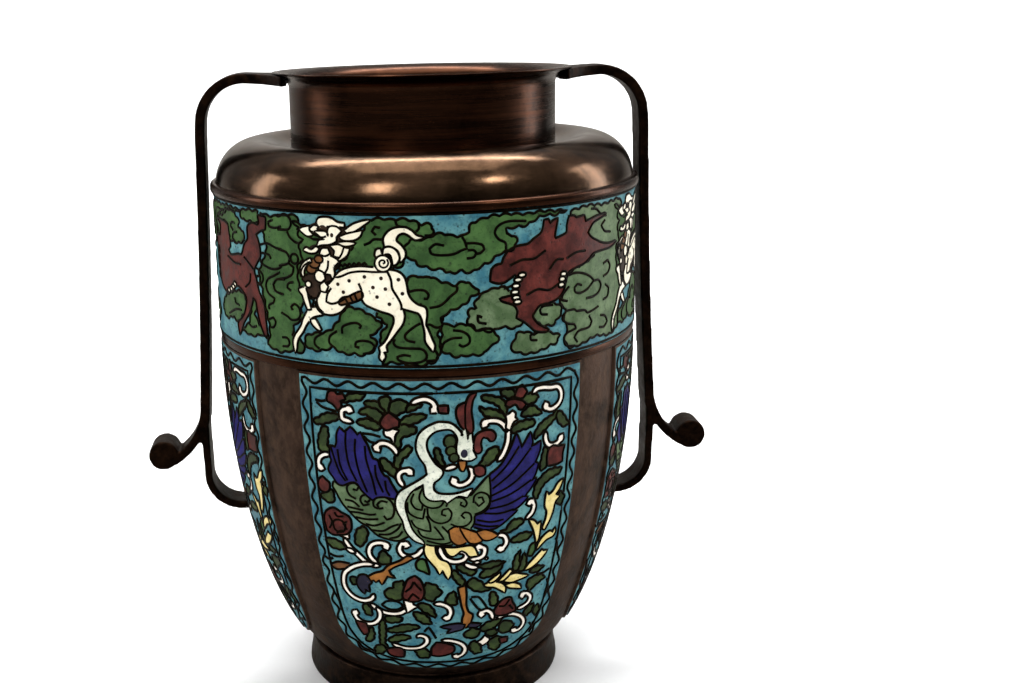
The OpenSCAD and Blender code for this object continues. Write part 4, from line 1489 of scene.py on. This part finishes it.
@dataclass
class Picture:
    """A wired and enamelled picture on one of the vase's skins.

    Args:
        name: The start of its pieces' names.
        surface: The skin that it lies on.
        shapes: Its shapes in painter's order.
        wire_width: Width of a wire in millimetres.
        wire_height: Height of a wire's crown above the skin in millimetres.
        fill_step: How much higher each later layer lies, in millimetres.
        ground: Height of the lowest fill above the skin.
        covers: Outlines of a neighbouring picture that hide this one's wires.
    """

    name: str
    surface: Surface
    shapes: list[Tile]
    wire_width: float = 1.35
    wire_height: float = 0.5
    fill_step: float = 0.016
    ground: float = 0.03
    covers: list[np.ndarray] = field(default_factory=list)
    _fills: dict[Enamel, list] = field(default_factory=dict)
    _wires: list = field(default_factory=list)

    def fill(self, outline: np.ndarray, lift: float) -> tuple[np.ndarray, np.ndarray, list]:
        """Cuts one cell into small faces that follow the skin.

        Args:
            outline: The cell's outline.
            lift: Its height above the skin.

        Returns:
            Flat points, their heights and the faces.
        """
        lo, hi = outline.min(axis=0), outline.max(axis=0)
        grid = np.meshgrid(*(np.arange(lo[i] + FILL_GRID / 2, hi[i], FILL_GRID) for i in (0, 1)))
        inner = np.column_stack([part.ravel() for part in grid])
        if len(inner):
            inner = inner[inside(inner, outline)]
        if len(inner):
            apart = inner[:, None, :] - outline[None, :, :]
            inner = inner[np.min(np.hypot(apart[..., 0], apart[..., 1]), axis=1) > FILL_MARGIN]
        pts = np.vstack([outline, inner]) if len(inner) else outline
        rim = [(i, (i + 1) % len(outline)) for i in range(len(outline))]
        verts, _, faces, *_ = delaunay_2d_cdt([Vector(p) for p in pts], rim, [], 1, 1e-4)
        flat = np.array([tuple(v) for v in verts])
        return flat, np.full(len(flat), lift), [list(f) for f in faces]

    def wire(self, line: np.ndarray, closed: bool) -> tuple[np.ndarray, np.ndarray, list]:
        """Draws one crowned wire.

        Args:
            line: Its middle.
            closed: Whether it returns to its start.

        Returns:
            Flat points, their heights and the faces.
        """
        side = normals_2d(line, closed)
        w, h = self.wire_width, self.wire_height
        crown = ((-w / 2 - WIRE_FOOT, -WIRE_FOOT), (-w * 0.3, h * 0.85), (0, h), (w * 0.3, h * 0.85),
                 (w / 2 + WIRE_FOOT, -WIRE_FOOT))
        flat = np.vstack([line + side * off for off, _ in crown])
        lift = np.concatenate([np.full(len(line), up) for _, up in crown])
        n = len(line)
        faces = []
        for i in range(n if closed else n - 1):
            j = (i + 1) % n
            faces += [[k * n + i, k * n + j, (k + 1) * n + j, (k + 1) * n + i] for k in range(4)]
        if not closed:
            faces += [[k * n for k in range(5)], [k * n + n - 1 for k in reversed(range(5))]]
        return flat, lift, faces

    def visible_runs(self, index: int) -> list[tuple[np.ndarray, bool]]:
        """Cuts a shape's wire where a later shape covers it.

        Args:
            index: The shape's place in the painter's order.

        Returns:
            Lines and whether each is closed.
        """
        tile = self.shapes[index]
        line = tile.outline
        lo, hi = line.min(axis=0), line.max(axis=0)
        hidden = np.zeros(len(line), bool)
        for cover in [t.outline for t in self.shapes[index + 1:] if t.closed] + self.covers:
            a, b = cover.min(axis=0), cover.max(axis=0)
            if np.any(a > hi) or np.any(b < lo):
                continue
            hidden |= inside(line, cover)
        if not hidden.any():
            return [(line, tile.closed or tile.loop)]
        runs, n = [], len(line)
        start = int(np.argmax(hidden)) if tile.closed else 0
        order = [(start + k) % n for k in range(n)] if tile.closed else list(range(n))
        run: list[int] = []
        for k in [*order, None]:
            if k is None or hidden[k]:
                if len(run) > 1:
                    runs.append((line[run], False))
                run = []
            else:
                run.append(k)
        return runs

    def draw(self) -> None:
        """Works out every fill and wire once."""
        for index, tile in enumerate(self.shapes):
            if tile.closed:
                self._fills.setdefault(tile.enamel, []).append(
                    self.fill(tile.outline, self.ground + tile.level * self.fill_step))
            for line, closed in self.visible_runs(index) if tile.wired else []:
                self._wires.append(self.wire(line, closed))

    def lay(self, name: str, parts: list, side: int) -> bpy.types.Object:
        """Joins parts into one mesh on the skin.

        Args:
            name: The piece's name.
            parts: Flat points, heights and faces of each part.
            side: Which side of the vase.

        Returns:
            The piece, undressed.
        """
        flat = np.vstack([p[0] for p in parts])
        lift = np.concatenate([p[1] for p in parts])
        faces, base = [], 0
        for pts, _, rim in parts:
            faces += [[base + i for i in f] for f in rim]
            base += len(pts)
        mesh = bpy.data.meshes.new(name)
        mesh.from_pydata(self.surface.place(flat, lift, side).tolist(), [], faces)
        mesh.update()
        piece = bpy.data.objects.new(name, mesh)
        bpy.context.collection.objects.link(piece)
        self.face_outwards(piece)
        for face in mesh.polygons:
            face.use_smooth = True
        return piece

    def face_outwards(self, piece: bpy.types.Object) -> None:
        """Turns each face that looks into the vase.

        Args:
            piece: The piece.
        """
        mesh = piece.data
        back = []
        for face in mesh.polygons:
            c, n = face.center, face.normal
            if c.x * n.x + c.y * n.y - 0.02 * abs(n.z) < -1e-9 and abs(n.z) < 0.9:
                back.append(face.index)
        if not back:
            return
        activate(piece)
        bpy.ops.object.mode_set(mode="EDIT")
        bpy.ops.mesh.select_mode(type="FACE")
        bpy.ops.mesh.select_all(action="DESELECT")
        bpy.ops.object.mode_set(mode="OBJECT")
        flags = np.zeros(len(mesh.polygons), bool)
        flags[back] = True
        mesh.polygons.foreach_set("select", flags)
        bpy.ops.object.mode_set(mode="EDIT")
        bpy.ops.mesh.flip_normals()
        bpy.ops.object.mode_set(mode="OBJECT")

    def build(self, workshop: Workshop, side: int) -> None:
        """Puts the picture on one side.

        Args:
            workshop: Where the finishes come from.
            side: Which side of the vase.
        """
        tag = f"{self.name}_{SIDES[side]}"
        for enamel, parts in self._fills.items():
            piece = self.lay(f"{tag}_{enamel.name.lower()}", parts, side)
            enlist(piece, enamel.slot, workshop.glazes[enamel])
        wires = self.lay(f"{tag}_wires", self._wires, side)
        enlist(wires, "wire_bronze", workshop.bronzes["wire_bronze"])


# ---------------------------------------------------------------------------------------------------------
# Handles
# ---------------------------------------------------------------------------------------------------------

@dataclass(frozen=True)
class CastHandle:
    """One strap handle, with the soft edges of a casting.

    Args:
        name: The piece's name.
        node: The CAD node that it stands for.
        grain: Size of the modelling steps in millimetres.
        rounds: How many times its edges are softened.
    """

    name: str
    node: str
    grain: float = 0.75
    rounds: int = 5

    def build(self, workshop: Workshop) -> bpy.types.Object:
        """Rounds a copy of the handle's solid.

        Args:
            workshop: Where its finish comes from.

        Returns:
            The finished handle.
        """
        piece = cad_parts[self.node].copy()
        piece.data = piece.data.copy()
        piece.animation_data_clear()
        for key in list(piece.keys()):
            del piece[key]
        piece.parent = None
        bpy.context.collection.objects.link(piece)
        piece.matrix_world = Matrix.Identity(4)
        piece.name = piece.data.name = self.name
        activate(piece)
        bpy.ops.object.mode_set(mode="EDIT")
        bpy.ops.mesh.select_all(action="SELECT")
        bpy.ops.mesh.remove_doubles(threshold=1e-6)
        bpy.ops.mesh.normals_make_consistent(inside=False)
        bpy.ops.object.mode_set(mode="OBJECT")
        cast = piece.modifiers.new("cast_skin", "REMESH")
        cast.mode, cast.voxel_size, cast.use_smooth_shade = "VOXEL", self.grain * MM, True
        soft = piece.modifiers.new("soft_edges", "SMOOTH")
        soft.factor, soft.iterations = 0.5, self.rounds
        for modifier in list(piece.modifiers):
            bpy.ops.object.modifier_apply(modifier=modifier.name)
        bpy.ops.object.shade_smooth()
        return enlist(piece, "black_bronze", workshop.bronzes["black_bronze"], self.node)


# ---------------------------------------------------------------------------------------------------------
# Panel borders
# ---------------------------------------------------------------------------------------------------------

@dataclass(frozen=True)
class PanelBorder:
    """The wavy wire that runs round a panel between its rim and its inner line.

    Args:
        half_angle: Half the panel's angle round the bowl, in degrees.
        top: Height where the panel ends, in millimetres.
        low: Height where it starts.
        corner: Height where its sides start to round in to the foot.
        power: Roundness of its lower corners.
        inset: How far in from the outline the wave runs.
        wave: Length of one wave.
        swing: Half the width of the wave.
    """

    half_angle: float
    top: float = 182.2
    low: float = 24.8
    corner: float = 62.0
    power: float = 3.4
    inset: float = 3.6
    wave: float = 11.7
    swing: float = 1.25

    def ring(self) -> np.ndarray:
        """Draws the panel's outline, drawn in by the inset and unrolled.

        Returns:
            The closed outline.
        """
        table = BowlSurface().table()
        order = np.argsort(table[:, 2])
        half = math.radians(self.half_angle)
        top, low = self.top - self.inset, self.low + 0.8 * self.inset
        turns = [math.radians(90 * i / 40) for i in range(41)]
        rows = [(top + (self.corner - top) * i / 24, 1.0) for i in range(24)]
        rows += [(self.corner - (self.corner - low) * math.sin(a) ** (2 / self.power),
                  max(math.cos(a), 0) ** (2 / self.power)) for a in turns]
        right = []
        for z, share in rows:
            run, r = (float(np.interp(z, table[order, 2], table[order, k])) for k in (0, 1))
            right.append((r * math.asin(math.sin(half - self.inset / r) * share), run))
        right = np.array([(right[0][0] * i / 12, right[0][1]) for i in range(12)] + right)
        return np.vstack([right, right[::-1][1:-1] * np.array([-1.0, 1.0])])

    def straight(self) -> Tile:
        """Draws the plain wire at the inset.

        Returns:
            The wire.
        """
        return Tile(self.ring(), Enamel.TURQUOISE, False, True)

    def wavy(self) -> Tile:
        """Draws the wavy wire as one closed line.

        Returns:
            The wire.
        """
        ring = self.ring()
        closed = np.vstack([ring, ring[:1]])
        run = run_along(closed)
        waves = round(run[-1] / self.wave)
        at = np.linspace(0, run[-1], waves * 12, endpoint=False)
        line = np.column_stack([np.interp(at, run, closed[:, i]) for i in (0, 1)])
        sway = self.swing * np.sin(at / run[-1] * waves * 2 * math.pi)
        return Tile(line + normals_2d(line, True) * sway[:, None], Enamel.TURQUOISE, False, True)


# ---------------------------------------------------------------------------------------------------------
# Studio
# ---------------------------------------------------------------------------------------------------------

@dataclass(frozen=True)
class Lamp:
    """One softbox.

    Args:
        name: Its name.
        at: Its place in metres.
        aim: The point that it faces.
        size: Its width and height in metres.
        watts: Its power.
    """

    name: str
    at: Place
    aim: Place
    size: Point
    watts: float

    def hang(self) -> None:
        """Hangs it in its place."""
        data = bpy.data.lights.new(self.name, "AREA")
        data.shape, data.size, data.size_y = "RECTANGLE", self.size[0], self.size[1]
        data.energy = self.watts
        made = bpy.data.objects.new(self.name, data)
        bpy.context.collection.objects.link(made)
        made.location = self.at
        made.rotation_mode = "QUATERNION"
        made.rotation_quaternion = (Vector(self.aim) - Vector(self.at)).to_track_quat("-Z", "Y")


LAMPS = (
    Lamp("left_softbox", (-0.75, -1.35, 1.15), (0, 0, 0.2), (0.35, 0.55), 8),
    Lamp("right_softbox", (0.8, -1.0, 1.3), (0, 0, 0.2), (0.25, 0.25), 5),
    Lamp("overhead_softbox", (0, 0.3, 2.6), (0, 0.3, 0), (2.2, 2.2), 44),
    Lamp("right_strip", (1.15, 0.15, 0.45), (0, 0, 0.2), (0.3, 0.9), 5),
    Lamp("left_strip", (-1.15, 0.15, 0.55), (0, 0, 0.2), (0.25, 0.7), 3),
    Lamp("backdrop_lamp", (0, 0.8, 2.6), (0, 3.6, 0.4), (3.0, 1.0), 190),
)


@dataclass(frozen=True)
class Studio:
    """A pale floor, soft lights and the camera.

    Args:
        eye: Where the camera stands, in millimetres.
        heading: Its turn from the +Y axis towards +X, in degrees.
        dip: How far it looks down, in degrees.
        tilt: Its roll, in degrees.
        lens: Focal length on a 36 mm wide sensor, in millimetres.
        shift: Its lens shift across and up.
        floor_size: Length and width of the floor, in metres.
        wall_height: How far the floor runs up at the back, in metres.
        cove: Size of the curve between them, in metres.
    """

    eye: Place = (-45.6, -652.2, 337.0)
    heading: float = 3.31
    dip: float = 12.55
    tilt: float = -1.32
    lens: float = 45.6
    shift: Point = (0.0985, -0.0344)
    floor_size: float = 8.0
    wall_height: float = 4.0
    cove: float = 1.2

    def camera(self) -> None:
        """Stands the camera where the vase is seen from."""
        h, p, t = (math.radians(a) for a in (self.heading, self.dip, self.tilt))
        ahead = Vector((math.sin(h) * math.cos(p), math.cos(h) * math.cos(p), -math.sin(p)))
        across = Vector((math.cos(h), -math.sin(h), 0))
        up = across.cross(ahead)
        turned = math.cos(t) * across + math.sin(t) * up
        risen = -math.sin(t) * across + math.cos(t) * up
        data = bpy.data.cameras.new("camera")
        data.lens, data.sensor_width = self.lens, 36.0
        data.shift_x, data.shift_y = self.shift
        data.clip_start, data.clip_end = 0.01, 50.0
        made = bpy.data.objects.new("camera", data)
        bpy.context.collection.objects.link(made)
        turn = Matrix((turned, risen, -ahead)).transposed().to_4x4()
        made.matrix_world = Matrix.Translation(Vector(self.eye) * MM) @ turn
        bpy.context.scene.camera = made

    def floor(self) -> None:
        """Lays the pale floor that curves up into the backdrop."""
        deselect()
        bpy.ops.mesh.primitive_plane_add(size=self.floor_size, location=(0, 0, 0))
        cove = bpy.context.object
        rear = self.floor_size / 2 - 0.1
        corners = cove.data.vertices
        bpy.ops.object.mode_set(mode="EDIT")
        bpy.ops.mesh.select_all(action="DESELECT")
        bpy.ops.mesh.select_mode(type="EDGE")
        bpy.ops.object.mode_set(mode="OBJECT")
        for edge in cove.data.edges:
            edge.select = all(corners[i].co.y > rear for i in edge.vertices)
        bpy.ops.object.mode_set(mode="EDIT")
        bpy.ops.mesh.extrude_region_move(TRANSFORM_OT_translate={"value": (0, 0, self.wall_height)})
        bpy.ops.mesh.select_all(action="SELECT")
        bpy.ops.mesh.normals_make_consistent(inside=True)
        bpy.ops.object.mode_set(mode="OBJECT")
        corners = cove.data.vertices
        for edge in cove.data.edges:
            edge.select = all(corners[i].co.y > rear and corners[i].co.z < 0.1 for i in edge.vertices)
        bpy.ops.object.mode_set(mode="EDIT")
        bpy.ops.mesh.bevel(offset=self.cove, segments=16)
        bpy.ops.object.mode_set(mode="OBJECT")
        bpy.ops.object.shade_smooth()
        cove.name = cove.data.name = "studio_floor"
        cove.data.materials.append(self.paper())

    def paper(self) -> bpy.types.Material:
        """Makes the backdrop's paper, whose colour in glossy rays is a painted dim reflection.

        Returns:
            The material.
        """
        made, tree, shader = start_material("white_paper_backdrop")
        place = add(tree, "ShaderNodeTexCoord", {}, {}).outputs["Object"]
        fibre = noise(tree, place, 1 / (300.0 * MM), 2.0)
        tone = blend(tree, fibre, linear("f7f7f7"), linear("fbfbfb"))
        # In glossy rays the paper shows a painted dim grey in place of its lit white: a painted dark
        # reflection, so that steep metal edges reflect dark instead of white.
        path = add(tree, "ShaderNodeLightPath", {}, {})
        tone_and_painted_reflection = blend(tree, path.outputs["Is Glossy Ray"], tone, linear("7e7a74"))
        tree.links.new(tone_and_painted_reflection, shader.inputs["Base Color"])
        shader.inputs["Roughness"].default_value = 0.6
        return made

    def room(self) -> None:
        """Fills the room with soft white light."""
        world = bpy.data.worlds.new("studio")
        bpy.context.scene.world = world
        world.use_nodes = True
        tree = world.node_tree
        # The room is dark at eye level and pale overhead, so that the bronze shows dark with bright edges.
        place = add(tree, "ShaderNodeTexCoord", {}, {}).outputs["Generated"]
        height = add(tree, "ShaderNodeSeparateXYZ", {}, {"Vector": place}).outputs["Z"]
        glow = spread(tree, height, 0.05, 0.7, 0.06, 0.45)
        tree.links.new(glow, tree.nodes["Background"].inputs["Strength"])
        tree.nodes["Background"].inputs["Color"].default_value = (1, 1, 1, 1)

    def build(self) -> None:
        """Sets up the whole studio."""
        self.camera()
        self.room()
        self.floor()
        for lamp in LAMPS:
            lamp.hang()
        bpy.context.scene.view_settings.view_transform = "Standard"
        log.info("studio ready")


def dress_frame(workshop: Workshop) -> None:
    """Gives the carried-over CAD nodes their finishes.

    Args:
        workshop: Where the finishes come from.
    """
    dark, brown, wire = (workshop.bronzes[name] for name in ("dark_bronze", "brown_bronze", "wire_bronze"))
    ground = workshop.glazes[Enamel.TURQUOISE]
    plain = {"base_plate": dark, "bowl": brown, "frieze_wall": brown, "frieze_enamel": ground}
    for name, finish in plain.items():
        workshop.dress_node(name, finish)
    for side in SIDES:
        workshop.dress_node(f"panel_rim_{side}", brown)
        workshop.dress_node(f"border_enamel_{side}", ground)
        workshop.dress_node(f"border_line_{side}", wire)
        workshop.dress_node(f"field_enamel_{side}", ground)


def lay_panels(workshop: Workshop) -> None:
    """Lays the bird picture and its borders in the four panels.

    Args:
        workshop: Where the finishes come from.
    """
    bowl = BowlSurface()
    for pair, half in (((0, 2), 38.25), ((1, 3), 35.75)):
        borders = [PanelBorder(half).wavy(), PanelBorder(half, inset=6.9).straight()]
        picture = Picture("phoenix", bowl, [*borders, *tiles(PHOENIX)])
        picture.draw()
        for side in pair:
            picture.build(workshop, side)


def lay_frieze(workshop: Workshop) -> None:
    """Lays the beasts and clouds round the frieze.

    Args:
        workshop: Where the finishes come from.
    """
    skin = FriezeSurface()
    deer = tiles(DEER)
    here = [tile.outline for tile in deer if tile.closed]
    ahead = [outline + np.array([QUARTER, 0.0]) for outline in here]
    under = {"wire_width": 1.25, "ground": 0.014, "fill_step": 0.012}
    parts = ((Picture("deer", skin, deer, 1.25), (0, 1, 2, 3)),
             (Picture("red_beast", skin, tiles(RED_BEAST), covers=ahead, **under), (0, 1, 2)),
             (Picture("turning_beast", skin, tiles(TURNING_BEAST), covers=here, **under), (0,)))
    for picture, sides in parts:
        picture.draw()
        for side in sides:
            picture.build(workshop, side)


def main() -> None:
    """Builds the vase and its studio in order."""
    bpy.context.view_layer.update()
    workshop = Workshop()
    dress_frame(workshop)
    for ring in RINGS:
        ring.build(workshop)
    for side in ("left", "right"):
        CastHandle(f"cast_handle_{side}", f"handle_{side}").build(workshop)
    lay_panels(workshop)
    lay_frieze(workshop)
    Studio().build()


if __name__ == "__main__":
    main()
